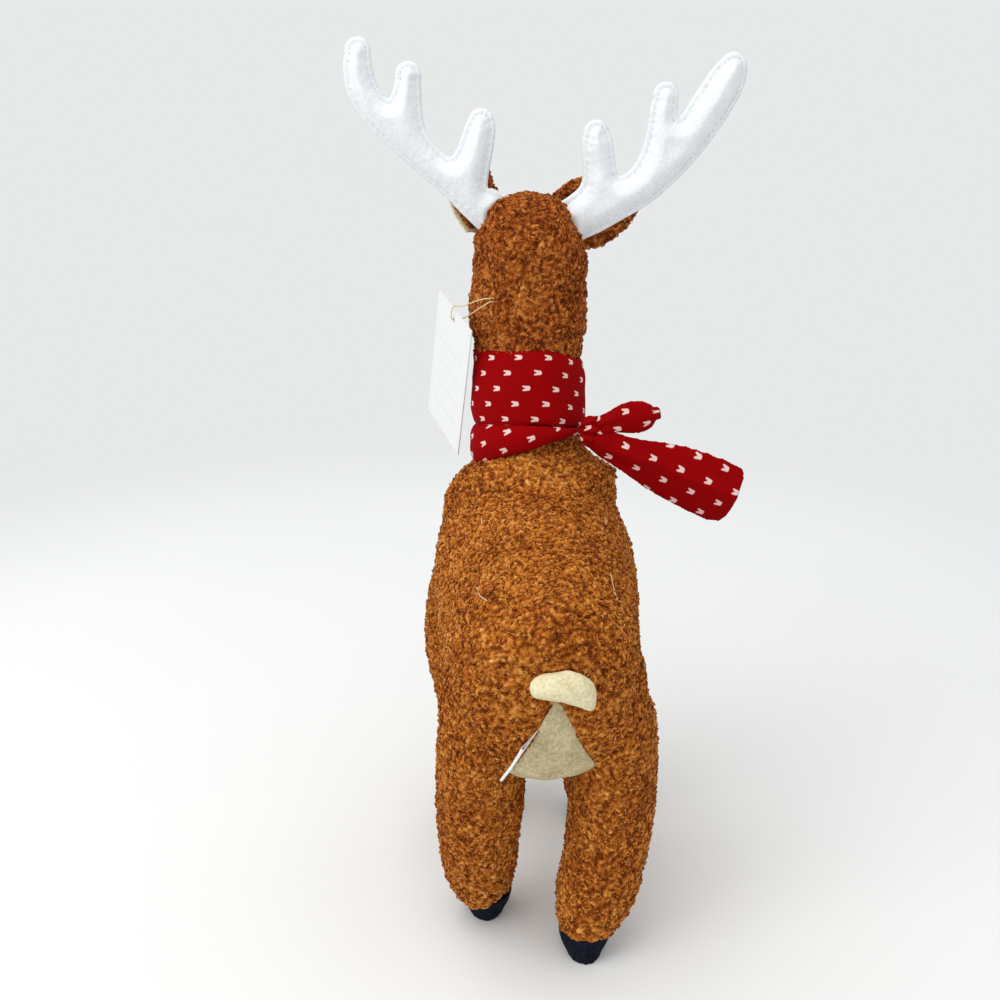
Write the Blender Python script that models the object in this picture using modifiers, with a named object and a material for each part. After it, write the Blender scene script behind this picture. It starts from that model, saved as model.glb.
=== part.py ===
"""A standing plush deer with felt antlers, a knotted jersey scarf, a hang tag and sewn labels.

The deer faces -Y and stands on Z = 0. Its own left is +X. Lengths are in metres.
"""
import math

import bmesh
import bpy
from mathutils import Euler, Matrix, Quaternion, Vector
from mathutils.geometry import delaunay_2d_cdt

# General clearances and cloth thicknesses
GAP = 0.0003
FLEX_GAP = 0.0006
FILLING_GAP = 0.0006
OVERRUN = 0.004
PLUSH_WALL = 0.0020
FELT_WALL = 0.0012
HOOF_FELT = 0.0015
SMALL_FORM_SIDES = 8
BORE_SIDES = 16

# Where the deer stands: the spine beside the middle of the whole, and the rump behind it
SPINE_X = 0.0070
RUMP_Y = 0.1090

# Torso
TORSO_LENGTH = 0.1740
TORSO_WIDTH = 0.0990
TORSO_DEPTH = 0.1160
BELLY_HEIGHT = 0.0910
TORSO_SIDES = 10

# Rows run from the rump to the chest: along, centre height, half width, half depth.
# Along is a share of the length, half width of the whole width, the others of the depth.
TORSO_SHARES = (
    (0.000, 0.450, 0.200, 0.180),
    (0.040, 0.425, 0.380, 0.340),
    (0.150, 0.420, 0.465, 0.430),
    (0.340, 0.450, 0.480, 0.465),
    (0.560, 0.490, 0.505, 0.495),
    (0.740, 0.520, 0.525, 0.510),
    (0.900, 0.520, 0.470, 0.460),
    (0.975, 0.520, 0.280, 0.310),
)

# Belly gusset: a felt strip under the body that comes to a point below the tail
GUSSET_APEX_HEIGHT = 0.1480
GUSSET_FOOT_HEIGHT = 0.0830
GUSSET_FOOT_WIDTH = 0.0600
GUSSET_SIDE_STEP = 0.0022

# Neck
NECK_WIDTH = 0.0485
NECK_LENGTH = 0.1240
NECK_LEAN = math.radians(14.0)
NECK_BASE_FORWARD = 0.1295
NECK_BASE_HEIGHT = 0.1750
NECK_SIDE_STEP = 0.0020
NECK_SIDES = 16
NECK_BASE_TILT = math.radians(9.0)
NECK_TILT_END_SHARE = 0.32
# Rows run up the neck: along the length, then half width and half depth as shares of its width
NECK_SHARES = (
    (0.000, 0.900, 0.700),
    (0.080, 0.905, 0.720),
    (0.140, 0.870, 0.720),
    (0.190, 0.790, 0.700),
    (0.235, 0.640, 0.620),
    (0.262, 0.540, 0.540),
    (0.285, 0.500, 0.500),
    (0.727, 0.500, 0.500),
    (0.745, 0.600, 0.570),
    (0.860, 0.605, 0.580),
    (1.000, 0.600, 0.580),
)

# Head
HEAD_LENGTH = 0.0950
HEAD_WIDTH = 0.0655
HEAD_HEIGHT = 0.0720
HEAD_TOP = 0.3350
HEAD_FORWARD = 0.1290
HEAD_SIDES = 8
HEAD_PINCH_SHARE = 0.22
# Rows run from the back of the skull to the nose: along, drop below the top of the head of the
# centre, half width, half height. Along is a share of the length, half width of the whole width.
HEAD_SHARES = (
    (0.000, 0.520, 0.200, 0.220),
    (0.070, 0.510, 0.380, 0.400),
    (0.250, 0.495, 0.500, 0.500),
    (0.440, 0.500, 0.475, 0.460),
    (0.610, 0.560, 0.355, 0.350),
    (0.800, 0.635, 0.265, 0.262),
    (0.950, 0.670, 0.220, 0.212),
    (1.000, 0.680, 0.130, 0.125),
)

# Legs and hooves
LEG_SIDES = 8
LEG_HEIGHT = 0.1560
HIND_LEG_WIDTH = 0.0435
FRONT_LEG_WIDTH = 0.0440
HOOF_WIDTH = 0.0246
HOOF_LENGTH = 0.0260
HOOF_HEIGHT = 0.0140
HIP_FORWARD = 0.0350
LEFT_HIP_STANCE = 0.0290
RIGHT_HIP_STANCE = 0.0315
SHOULDER_FORWARD = 0.1360
SHOULDER_STANCE = 0.0350
RIGHT_HIND_SOLE_FORWARD = 0.0240
RIGHT_HIND_SOLE_STANCE = 0.0182
LEFT_HIND_SOLE_FORWARD = 0.0560
LEFT_HIND_SOLE_STANCE = 0.0258
FRONT_SOLE_FORWARD = 0.1340
FRONT_SOLE_STANCE = 0.0320
# Rows run up the leg: height, shift from sole to hip, half width and half depth of the leg's width
HIND_LEG_SHARES = (
    (0.130, 0.400, 0.430, 0.450),
    (0.260, 0.600, 0.480, 0.500),
    (0.450, 0.900, 0.500, 0.540),
    (0.690, 1.000, 0.465, 0.620),
    (0.890, 1.000, 0.380, 0.580),
    (1.000, 1.000, 0.330, 0.460),
)
FRONT_LEG_SHARES = (
    (0.135, 0.000, 0.360, 0.400),
    (0.380, 0.050, 0.360, 0.420),
    (0.540, 0.500, 0.430, 0.500),
    (0.670, 1.000, 0.530, 0.600),
    (0.880, 1.000, 0.440, 0.560),
    (1.000, 1.000, 0.300, 0.400),
)

# Eyes and nose
EYE_DIAMETER = 0.0095
EYE_BULGE = 0.0040
EYE_SHANK_DIAMETER = 0.0030
EYE_SHANK_LENGTH = 0.0110
WASHER_DIAMETER = 0.0110
WASHER_THICKNESS = 0.0012
WASHER_DEPTH = 0.0038
EYE_FORWARD = 0.0550
EYE_DROP = 0.0345
EYE_GAP = 0.0004
EYE_TURN = math.radians(24.0)
EYE_TILT = math.radians(19.0)
EYE_STEPS = 12
EYE_DOME_STEPS = 5
WASHER_BORE_GAP = 0.0001
NOSE_WIDTH = 0.0150
NOSE_HEIGHT = 0.0110
NOSE_LENGTH = 0.0130
NOSE_DROP = 0.0450
NOSE_STEPS = 5

# Antlers: both are the same two layers of felt, stuffed, with a flat stitched edge
ANTLER_FLANGE = 0.0024
ANTLER_CROWN = 0.0052
ANTLER_SWELL = 0.0070
ANTLER_SPACING = 0.0074
ANTLER_HINGE_BACK = 0.0030
ANTLER_ROOT_SLOPE_SHARE = 0.66
ANTLER_ROOT_LEVEL_SHARE = 0.02
ANTLER_ROOT_CLIP_SHARE = 0.09
QUILT_MARGIN_SHARE = 0.45
WADDING_START_SHARE = 0.30
WADDING_FILL_SHARE = 0.75
WADDING_RIM_SHARE = 0.30
SHRINK_SHARE = 0.93
ANTLER_CURVE_STEPS = 2
ANTLER_HEIGHT = 0.0880
ANTLER_REACH = 0.0750
ANTLER_FORWARD = 0.1570
LEFT_ROOT_OUT = 0.0165
LEFT_ROOT_HEIGHT = 0.3205
RIGHT_ROOT_OUT = 0.0172
RIGHT_ROOT_HEIGHT = 0.3165
# Outline points: outward as a share of the reach, upward as a share of the height
LEFT_ANTLER_SHARES = (
    (-0.090, -0.020), (-0.010, -0.140), (0.060, -0.098), (0.207, 0.020), (0.350, 0.140),
    (0.530, 0.270), (0.660, 0.372), (0.800, 0.487), (0.893, 0.610), (0.922, 0.716),
    (0.913, 0.835), (0.830, 0.917), (0.765, 0.865), (0.725, 0.700), (0.650, 0.617),
    (0.590, 0.745), (0.523, 0.798), (0.455, 0.715), (0.442, 0.520), (0.395, 0.410),
    (0.290, 0.320), (0.232, 0.365), (0.155, 0.520), (0.065, 0.562), (-0.010, 0.468),
    (0.040, 0.180), (0.000, 0.150), (-0.150, 0.080),
)
RIGHT_ANTLER_SHARES = (
    (-0.070, -0.010), (0.030, -0.095), (0.200, -0.050), (0.383, 0.033), (0.563, 0.124),
    (0.748, 0.267), (0.885, 0.402), (1.005, 0.552), (1.100, 0.702), (1.118, 0.832),
    (1.048, 0.888), (0.930, 0.835), (0.808, 0.688), (0.705, 0.560), (0.695, 0.690),
    (0.612, 0.742), (0.535, 0.640), (0.505, 0.465), (0.450, 0.330), (0.350, 0.262),
    (0.318, 0.335), (0.290, 0.470), (0.190, 0.550), (0.105, 0.462), (0.110, 0.240),
    (0.020, 0.150), (-0.120, 0.080),
)

# Ears: a plush outside and a felt lining on a cupped leaf
EAR_LENGTH = 0.0405
EAR_THICKNESS = 0.0026
EAR_SINK = 0.0060
EAR_HINGE_RISE = 0.0016
EAR_START_SHARE = 0.24
EAR_SPAN_SHARE = 0.72
EAR_FULLNESS = 0.8
LINING_SHARE = 0.84
LINING_GAP = 0.00045
EAR_ROWS = 9
EAR_COLUMNS = 5
EAR_CUP_START_SHARE = 0.5
RIGHT_EAR_WIDTH = 0.0340
RIGHT_EAR_CUP = 0.0050
RIGHT_EAR_OUT = 0.0190
RIGHT_EAR_HEIGHT = 0.3165
RIGHT_EAR_FORWARD = 0.1710
RIGHT_EAR_RISE = math.radians(22.0)
RIGHT_EAR_LEAD = 0.0
RIGHT_EAR_TWIST = 0.0
LEFT_EAR_WIDTH = 0.0320
LEFT_EAR_CUP = 0.0055
LEFT_EAR_OUT = 0.0200
LEFT_EAR_HEIGHT = 0.3060
LEFT_EAR_FORWARD = 0.1650
LEFT_EAR_RISE = math.radians(80.0)
LEFT_EAR_LEAD = math.radians(24.0)
LEFT_EAR_TWIST = math.radians(40.0)

# Tail: a stuffed felt roll that arches across the rump
TAIL_WIDTH = 0.0290
TAIL_THICKNESS = 0.0128
TAIL_LENGTH = 0.0125
TAIL_ARCH = 0.0060
TAIL_SEAT_HEIGHT = 0.1530
TAIL_SIDE_STEP = 0.0050
TAIL_ROLL = math.radians(-13.0)
# Rows run across the tail: along its width, rise of the arch, size of the roll
TAIL_SHARES = (
    (-0.500, -0.350, 0.480),
    (-0.360, -0.150, 0.960),
    (0.000, 0.450, 1.000),
    (0.320, -0.050, 0.960),
    (0.500, -0.500, 0.500),
)

# Scarf: a folded strip of jersey round the neck, knotted on the deer's right
BAND_INNER_GAP = 0.0006
BAND_CLOTH = 0.0024
BAND_TOP = 0.0828
BAND_FOLD = 0.0480
BAND_FOOT = 0.0399
BAND_TOP_TILT = math.radians(-4.7)
BAND_FOLD_TILT = math.radians(-2.5)
BAND_FOOT_TILT = math.radians(13.0)
BAND_FOLD_SWELL = 0.0016
BAND_FLARE = 0.0016
BAND_STEPS = 24
KNOT_WIDTH = 0.0125
KNOT_HEIGHT = 0.0190
KNOT_DEPTH = 0.0130
KNOT_ALONG = 0.0515
KNOT_SINK = 0.0003
KNOT_TURN = math.radians(40.0)
# Rows run up the knot: along its height, and its size
KNOT_SHARES = ((-0.50, 0.50), (-0.36, 0.88), (0.00, 1.00), (0.36, 0.88), (0.50, 0.50))
TAIL_CLOTH = 0.0034
SHORT_TAIL_LENGTH = 0.0315
SHORT_TAIL_WIDTH = 0.0178
SHORT_TAIL_RISE = math.radians(12.0)
SHORT_TAIL_LIFT = 0.0026
TAIL_ROOT_SINK = 0.0030
LONG_TAIL_LENGTH = 0.0745
LONG_TAIL_WIDTH = 0.0300
LONG_TAIL_FALL = math.radians(21.5)
LONG_TAIL_DROP = 0.0036
TAIL_SWAY = math.radians(7.0)
SCARF_TAIL_SIDES = 8
# Rows run out along a tail: along, half width, sideways wave as a share of the cloth
SCARF_TAIL_SHARES = (
    (0.000, 0.160, 0.000),
    (0.180, 0.260, 0.350),
    (0.420, 0.410, -0.350),
    (0.700, 0.470, 0.250),
    (0.940, 0.500, -0.150),
    (1.000, 0.420, 0.000),
)

# Hang tag and its thread
TAG_WIDTH = 0.0450
TAG_HEIGHT = 0.0700
TAG_THICKNESS = 0.0006
TAG_HOLE_DIAMETER = 0.0026
TAG_HOLE_DROP = 0.0055
TAG_TURN = math.radians(111.0)
TAG_ROLL = math.radians(16.7)
TAG_HOLE_OUT = 0.0362
TAG_HOLE_FORWARD = 0.1505
TAG_HOLE_HEIGHT = 0.2722
THREAD_DIAMETER = 0.0006
THREAD_STEPS = 3
THREAD_ROUND_STEPS = 2
TAG_PIVOT_OUT = 0.0175
TAG_PIVOT_FORWARD = 0.1335
TAG_PIVOT_HEIGHT = 0.2858
# The thread's route: out of the neck, through the card's hole, over its top edge and back
THREAD_ROUTE = (
    (0.02660, -0.02430, 0.28420),
    (0.02860, -0.02250, 0.28430),
    (0.03160, -0.02310, 0.28240),
    (0.03600, -0.02780, 0.27850),
    (0.04060, -0.03500, 0.27430),
    (0.04330, -0.04080, 0.27240),
    (0.04520, -0.04150, 0.27220),
    (0.04660, -0.04090, 0.27290),
    (0.04670, -0.04010, 0.27560),
    (0.04600, -0.03940, 0.27840),
    (0.04450, -0.03940, 0.27940),
    (0.04260, -0.03860, 0.27920),
    (0.03920, -0.03380, 0.28100),
    (0.03450, -0.02670, 0.28420),
    (0.03060, -0.02270, 0.28590),
    (0.02850, -0.02270, 0.28600),
    (0.02650, -0.02450, 0.28580),
)

# Care label: a folded ribbon in the left seam of the gusset
LABEL_WIDTH = 0.0210
LABEL_LENGTH = 0.0150
LABEL_SEAT = 0.0010
LABEL_THICKNESS = 0.0003
LABEL_FOLD = 0.0009
LABEL_TOP_HEIGHT = 0.1310
LABEL_TURN = math.radians(22.0)
# Points of the ribbon's fold: out along its length, and half the space between its two layers
LABEL_SHARES = ((0.00, 0.50), (0.50, 0.75), (0.94, 0.60), (1.00, 0.00))


def clear_scene():
    for thing in list(bpy.data.objects):
        bpy.data.objects.remove(thing, do_unlink=True)


def new_collection(name):
    collection = bpy.data.collections.new(name)
    bpy.context.scene.collection.children.link(collection)
    return collection


clear_scene()
PARTS = new_collection("plush_deer")
CUTTERS = new_collection("cutters")


def make_material(name, colour, roughness, metallic=0.0):
    material = bpy.data.materials.new(name)
    material.use_nodes = True
    shader = material.node_tree.nodes["Principled BSDF"]
    shader.inputs["Base Color"].default_value = (*colour, 1.0)
    shader.inputs["Roughness"].default_value = roughness
    shader.inputs["Metallic"].default_value = metallic
    return material


def plush_material(name):
    return make_material(name, (0.43, 0.15, 0.04), 0.95)


def stuffing_material(name):
    return make_material(name, (0.86, 0.86, 0.84), 0.98)


def white_felt_material(name):
    return make_material(name, (0.82, 0.85, 0.90), 0.95)


def cream_felt_material(name):
    return make_material(name, (0.62, 0.54, 0.38), 0.95)


def hoof_felt_material(name):
    return make_material(name, (0.008, 0.010, 0.022), 0.90)


def jersey_material(name):
    return make_material(name, (0.33, 0.010, 0.018), 0.85)


def black_plastic_material(name):
    return make_material(name, (0.006, 0.005, 0.005), 0.12)


def washer_material(name):
    return make_material(name, (0.80, 0.80, 0.78), 0.45)


def card_material(name):
    return make_material(name, (0.86, 0.87, 0.88), 0.55)


def thread_material(name):
    return make_material(name, (0.72, 0.47, 0.30), 0.60)


def place(name, mesh, collection, location=(0, 0, 0), turn=(0, 0, 0)):
    item = bpy.data.objects.new(name, mesh)
    item.location = location
    item.rotation_euler = turn
    collection.objects.link(item)
    return item


def show(name, mesh, material, location=(0, 0, 0), turn=(0, 0, 0)):
    """Put a mesh in the part as a named piece with its own material."""
    item = place(name, mesh, PARTS, location, turn)
    mesh.materials.clear()
    mesh.materials.append(material)
    return item


def hide(name, mesh, location=(0, 0, 0), turn=(0, 0, 0)):
    """Put a mesh among the cutters."""
    item = place(name, mesh, CUTTERS, location, turn)
    item.hide_render = True
    item.display_type = "WIRE"
    return item


def subdivide(item, levels=1):
    modifier = item.modifiers.new("rounding", "SUBSURF")
    modifier.levels = levels
    modifier.render_levels = levels


def swell(item, distance):
    """Move a form's surface outward, or inward where the distance is negative."""
    modifier = item.modifiers.new("swell", "DISPLACE")
    modifier.strength = distance
    modifier.mid_level = 0.0


def combine(item, other, operation="DIFFERENCE"):
    modifier = item.modifiers.new(operation.lower() + "_" + other.name, "BOOLEAN")
    modifier.object = other
    modifier.operation = operation
    modifier.solver = "EXACT"


def carry(item, carrier):
    """Hang a piece on another one, and leave it where it is."""
    bpy.context.view_layer.update()
    item.parent = carrier
    item.matrix_parent_inverse = carrier.matrix_world.inverted()


def surface_spot(form, start, direction):
    """Where a line from a start inside a form leaves it, and which way its surface faces there."""
    bpy.context.view_layer.update()
    shape = form.evaluated_get(bpy.context.evaluated_depsgraph_get())
    place_of = form.matrix_world
    inward = place_of.inverted()
    _, spot, normal, _ = shape.ray_cast(inward @ start, inward.to_3x3() @ direction)
    return place_of @ spot, (place_of.to_3x3() @ normal).normalized()


def mesh_from(builder, name):
    mesh = bpy.data.meshes.new(name)
    bmesh.ops.recalc_face_normals(builder, faces=builder.faces[:])
    builder.to_mesh(mesh)
    builder.free()
    mesh.shade_smooth()
    return mesh


def ring_growth(sides):
    """How much larger a ring is drawn, so that one subdivision brings it to its size."""
    return 8.0 / (6.0 + 2.0 * math.cos(2.0 * math.pi / sides))


def cage(name, rings):
    """A closed cage through rings of equal counts, with a cap at each end."""
    builder = bmesh.new()
    rows = [[builder.verts.new(point) for point in ring] for ring in rings]
    count = len(rows[0])
    for lower, upper in zip(rows, rows[1:]):
        for index in range(count):
            following = (index + 1) % count
            builder.faces.new((lower[index], lower[following], upper[following], upper[index]))
    builder.faces.new(rows[0][::-1])
    builder.faces.new(rows[-1])
    return mesh_from(builder, name)


def section(centre, across, upward, sides, pinch=0.0):
    """A ring of points; across and upward reach from the centre to its edge."""
    growth = ring_growth(sides)
    points = []
    for index in range(sides):
        angle = 2.0 * math.pi * (index + 0.5) / sides
        rise = math.sin(angle)
        narrowing = 1.0 - pinch * max(0.0, rise)
        points.append(centre + growth * (across * math.cos(angle) * narrowing + upward * rise))
    return points


def plain_ring(centre, half_width, half_depth, tilt, sides):
    """An oval ring that is drawn at its size, for a form that isn't subdivided."""
    points = []
    for index in range(sides):
        angle = 2.0 * math.pi * (index + 0.5) / sides
        across = half_width * math.cos(angle)
        deep = half_depth * math.sin(angle)
        points.append(centre + Vector((across, deep, -across * math.tan(tilt))))
    return points


def slab(name, low, high):
    """A box between two corners, as a cutter."""
    builder = bmesh.new()
    bmesh.ops.create_cube(builder, size=1.0)
    size = Vector(high) - Vector(low)
    middle = (Vector(high) + Vector(low)) / 2.0
    bmesh.ops.scale(builder, vec=size, verts=builder.verts[:])
    bmesh.ops.translate(builder, vec=middle, verts=builder.verts[:])
    return hide(name, mesh_from(builder, name))


def cylinder(name, radius, depth):
    builder = bmesh.new()
    bmesh.ops.create_cone(
        builder, cap_ends=True, segments=BORE_SIDES, radius1=radius, radius2=radius, depth=depth
    )
    return mesh_from(builder, name)


def turned(name, profile, steps, location=(0, 0, 0), turn=(0, 0, 0), material=None):
    """A profile of radius and height pairs, listed from the top down, turned about its Z axis."""
    builder = bmesh.new()
    points = [builder.verts.new((radius, 0, height)) for radius, height in profile]
    for first, second in zip(points, points[1:]):
        builder.edges.new((first, second))
    if profile[0][0] > 0:
        builder.edges.new((points[-1], points[0]))
    mesh = bpy.data.meshes.new(name)
    builder.to_mesh(mesh)
    builder.free()
    item = show(name, mesh, material, location, turn)
    screw = item.modifiers.new("turning", "SCREW")
    screw.axis = "Z"
    screw.steps = steps
    screw.render_steps = steps
    screw.use_merge_vertices = True
    screw.merge_threshold = GAP / 10.0
    screw.use_smooth_shade = True
    return item


def torso_cage():
    rings = []
    for along, height, width, depth in TORSO_SHARES:
        centre = Vector((0, -along * TORSO_LENGTH, height * TORSO_DEPTH))
        across = Vector((width * TORSO_WIDTH, 0, 0))
        upward = Vector((0, 0, depth * TORSO_DEPTH))
        rings.append(section(centre, across, upward, TORSO_SIDES))
    return cage("torso_cage", rings)


TORSO_PLACE = Vector((SPINE_X, RUMP_Y, BELLY_HEIGHT))


def torso_form(name, swelling):
    item = hide(name, torso_cage(), TORSO_PLACE)
    subdivide(item)
    if swelling:
        swell(item, swelling)
    return item


NECK_AXIS = Vector((0, -math.sin(NECK_LEAN), math.cos(NECK_LEAN)))
NECK_PLACE = Vector((SPINE_X + NECK_SIDE_STEP, RUMP_Y - NECK_BASE_FORWARD, NECK_BASE_HEIGHT))
NECK_TURN = (NECK_LEAN, 0, 0)


def neck_cage():
    rings = []
    for along, width, depth in NECK_SHARES:
        tilt = NECK_BASE_TILT * max(0.0, 1.0 - along / NECK_TILT_END_SHARE)
        centre = Vector((0, 0, along * NECK_LENGTH))
        half_width = width * NECK_WIDTH
        half_depth = depth * NECK_WIDTH
        rings.append(plain_ring(centre, half_width, half_depth, tilt, NECK_SIDES))
    return cage("neck_cage", rings)


def neck_form(name, swelling):
    item = hide(name, neck_cage(), NECK_PLACE, NECK_TURN)
    if swelling:
        swell(item, swelling)
    return item


HEAD_PLACE = Vector((SPINE_X + NECK_SIDE_STEP, RUMP_Y - HEAD_FORWARD, HEAD_TOP))


def head_cage():
    rings = []
    for along, drop, width, height in HEAD_SHARES:
        centre = Vector((0, -along * HEAD_LENGTH, -drop * HEAD_HEIGHT))
        across = Vector((width * HEAD_WIDTH, 0, 0))
        upward = Vector((0, 0, height * HEAD_HEIGHT))
        rings.append(section(centre, across, upward, HEAD_SIDES, HEAD_PINCH_SHARE))
    return cage("head_cage", rings)


def head_form(name, swelling):
    item = hide(name, head_cage(), HEAD_PLACE)
    subdivide(item)
    if swelling:
        swell(item, swelling)
    return item


def copy_modifiers(source, item):
    for old in source.modifiers:
        new = item.modifiers.new(old.name, old.type)
        if old.type == "SUBSURF":
            new.levels = old.levels
            new.render_levels = old.render_levels
        if old.type == "DISPLACE":
            new.strength = old.strength
            new.mid_level = old.mid_level


def piece_of(form, name, material):
    """A shown piece that starts as one of the hidden forms."""
    item = show(name, form.data.copy(), material, form.location, form.rotation_euler)
    copy_modifiers(form, item)
    return item


def make_gusset_wedge(name, inset):
    """A long prism, pointed at the top, that cuts the belly strip out of the torso's skin."""
    half = GUSSET_FOOT_WIDTH / 2.0 - inset
    apex = GUSSET_APEX_HEIGHT - inset
    foot = GUSSET_FOOT_HEIGHT
    outline = [Vector((-half, 0, foot)), Vector((half, 0, foot)), Vector((0, 0, apex))]
    builder = bmesh.new()
    rear = RUMP_Y + OVERRUN
    front = RUMP_Y - TORSO_LENGTH - OVERRUN
    middle = SPINE_X - GUSSET_SIDE_STEP
    ends = []
    for along in (rear, front):
        ends.append([builder.verts.new(point + Vector((middle, along, 0))) for point in outline])
    for index in range(len(outline)):
        following = (index + 1) % len(outline)
        near, far = ends
        builder.faces.new((near[index], near[following], far[following], far[index]))
    builder.faces.new(ends[0][::-1])
    builder.faces.new(ends[1])
    return hide(name, mesh_from(builder, name))


def make_torso():
    outer = torso_form("torso_outer", 0)
    inner = torso_form("torso_inner", -PLUSH_WALL)
    neck_bore = neck_form("neck_bore_form", -PLUSH_WALL)
    wedge = make_gusset_wedge("gusset_wedge", 0)
    wedge_inside = make_gusset_wedge("gusset_wedge_inside", GAP)
    far_below = BELLY_HEIGHT - TORSO_DEPTH
    far_above = BELLY_HEIGHT + TORSO_DEPTH * 2.0
    sides = (("right_body_side", 1.0), ("left_body_side", -1.0))
    for name, direction in sides:
        item = piece_of(outer, name, plush_material(name))
        seam = SPINE_X - direction * GAP / 2.0
        edge = SPINE_X + direction * TORSO_WIDTH
        low = (min(seam, edge), RUMP_Y - TORSO_LENGTH * 2.0, far_below)
        high = (max(seam, edge), RUMP_Y + TORSO_LENGTH, far_above)
        combine(item, slab(name + "_other_half", low, high))
        combine(item, inner)
        combine(item, neck_bore)
        combine(item, wedge)
    gusset = piece_of(outer, "belly_gusset", cream_felt_material("belly_gusset"))
    combine(gusset, inner)
    combine(gusset, wedge_inside, "INTERSECT")
    filling_form = torso_form("torso_filling_form", -PLUSH_WALL - FILLING_GAP)
    piece_of(filling_form, "torso_filling", stuffing_material("torso_filling"))


def make_neck():
    torso_block = torso_form("torso_block_neck", FILLING_GAP)
    head_block = head_form("head_block_neck", GAP)
    outer = neck_form("neck_outer", 0)
    inner = neck_form("neck_inner", -PLUSH_WALL)
    skin = piece_of(outer, "neck_skin", plush_material("neck_skin"))
    filling_form = neck_form("neck_filling_form", -PLUSH_WALL - FILLING_GAP)
    filling = piece_of(filling_form, "neck_filling", stuffing_material("neck_filling"))
    for item in (skin, filling):
        combine(item, torso_block)
        combine(item, head_block)
    combine(skin, inner)


def eye_places():
    """Each eye sits square on the fur where a line from the skull's middle leaves it."""
    form = head_form("head_form_eyes", 0)
    for side, direction in (("left", 1.0), ("right", -1.0)):
        middle = HEAD_PLACE + Vector((0, -EYE_FORWARD, -EYE_DROP))
        outward = Vector((direction * math.cos(EYE_TURN), -math.sin(EYE_TURN), 0))
        outward.z = math.sin(EYE_TILT)
        outward.normalize()
        spot, facing = surface_spot(form, middle, outward)
        turn = Vector((0, 0, 1)).rotation_difference(facing).to_euler()
        yield side, spot + facing * EYE_GAP, turn


def make_head():
    outer = head_form("head_outer", 0)
    inner = head_form("head_inner", -PLUSH_WALL)
    neck_bore = neck_form("neck_bore_head", -PLUSH_WALL)
    skin = piece_of(outer, "head_skin", plush_material("head_skin"))
    combine(skin, inner)
    combine(skin, neck_bore)
    filling_form = head_form("head_filling_form", -PLUSH_WALL - FILLING_GAP)
    filling = piece_of(filling_form, "head_filling", stuffing_material("head_filling"))
    for side, spot, turn in eye_places():
        radius = EYE_SHANK_DIAMETER / 2.0 + GAP
        bore = cylinder(side + "_shank_bore", radius, EYE_SHANK_LENGTH * 2.0)
        bore_item = hide(side + "_shank_bore", bore, spot, turn)
        combine(skin, bore_item)
        room_depth = (EYE_SHANK_LENGTH + OVERRUN) * 2.0
        room = cylinder(side + "_washer_room", WASHER_DIAMETER / 2.0 + GAP, room_depth)
        room_item = hide(side + "_washer_room", room, spot, turn)
        combine(filling, room_item)


def make_eyes():
    radius = EYE_DIAMETER / 2.0
    shank = EYE_SHANK_DIAMETER / 2.0
    for side, spot, turn in eye_places():
        dome = []
        for index in range(EYE_DOME_STEPS + 1):
            angle = math.pi / 2.0 * (1.0 - index / EYE_DOME_STEPS)
            dome.append((radius * math.cos(angle), GAP + EYE_BULGE * math.sin(angle)))
        dome[0] = (0, dome[0][1])
        profile = dome + [(shank, GAP), (shank, -EYE_SHANK_LENGTH), (0, -EYE_SHANK_LENGTH)]
        name = side + "_eye"
        turned(name, profile, EYE_STEPS, spot, turn, black_plastic_material(name))
        washer_top = -WASHER_DEPTH
        washer_foot = washer_top - WASHER_THICKNESS
        inside = shank + WASHER_BORE_GAP
        outside = WASHER_DIAMETER / 2.0
        washer = [(outside, washer_top), (outside, washer_foot), (inside, washer_foot)]
        washer.append((inside, washer_top))
        name = side + "_eye_washer"
        turned(name, washer, EYE_STEPS, spot, turn, washer_material(name))


def make_nose():
    head_block = head_form("head_block_nose", GAP)
    centre = HEAD_PLACE + Vector((0, -HEAD_LENGTH, -NOSE_DROP))
    rings = []
    for index in range(NOSE_STEPS):
        turn = math.pi * (index + 0.5) / NOSE_STEPS
        along = Vector((0, NOSE_LENGTH / 2.0 * math.cos(turn), 0))
        across = Vector((NOSE_WIDTH / 2.0 * math.sin(turn), 0, 0))
        upward = Vector((0, 0, NOSE_HEIGHT / 2.0 * math.sin(turn)))
        rings.append(section(along, across, upward, SMALL_FORM_SIDES))
    name = "nose"
    item = show(name, cage(name, rings), black_plastic_material(name), centre)
    subdivide(item)
    combine(item, head_block)


def leg_cage(shares, width, sole, hip):
    """Rings from below the sole up to the hip, in the leg's own frame at the ground."""
    rings = []
    rise = HOOF_HEIGHT
    for height in (-rise, rise):
        centre = Vector((sole.x, sole.y, height))
        across = Vector((HOOF_WIDTH / 2.0, 0, 0))
        upward = Vector((0, HOOF_LENGTH / 2.0, 0))
        rings.append(section(centre, across, upward, LEG_SIDES))
    for height, shift, half_width, half_depth in shares:
        spot = sole.lerp(hip, shift)
        centre = Vector((spot.x, spot.y, height * LEG_HEIGHT))
        across = Vector((half_width * width, 0, 0))
        upward = Vector((0, half_depth * width, 0))
        rings.append(section(centre, across, upward, LEG_SIDES))
    return cage("leg_cage", rings)


def leg_form(name, leg, swelling):
    mesh = leg_cage(leg["shares"], leg["width"], leg["sole"], leg["hip"])
    item = hide(name, mesh, leg["place"])
    subdivide(item)
    if swelling:
        swell(item, swelling)
    return item


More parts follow.
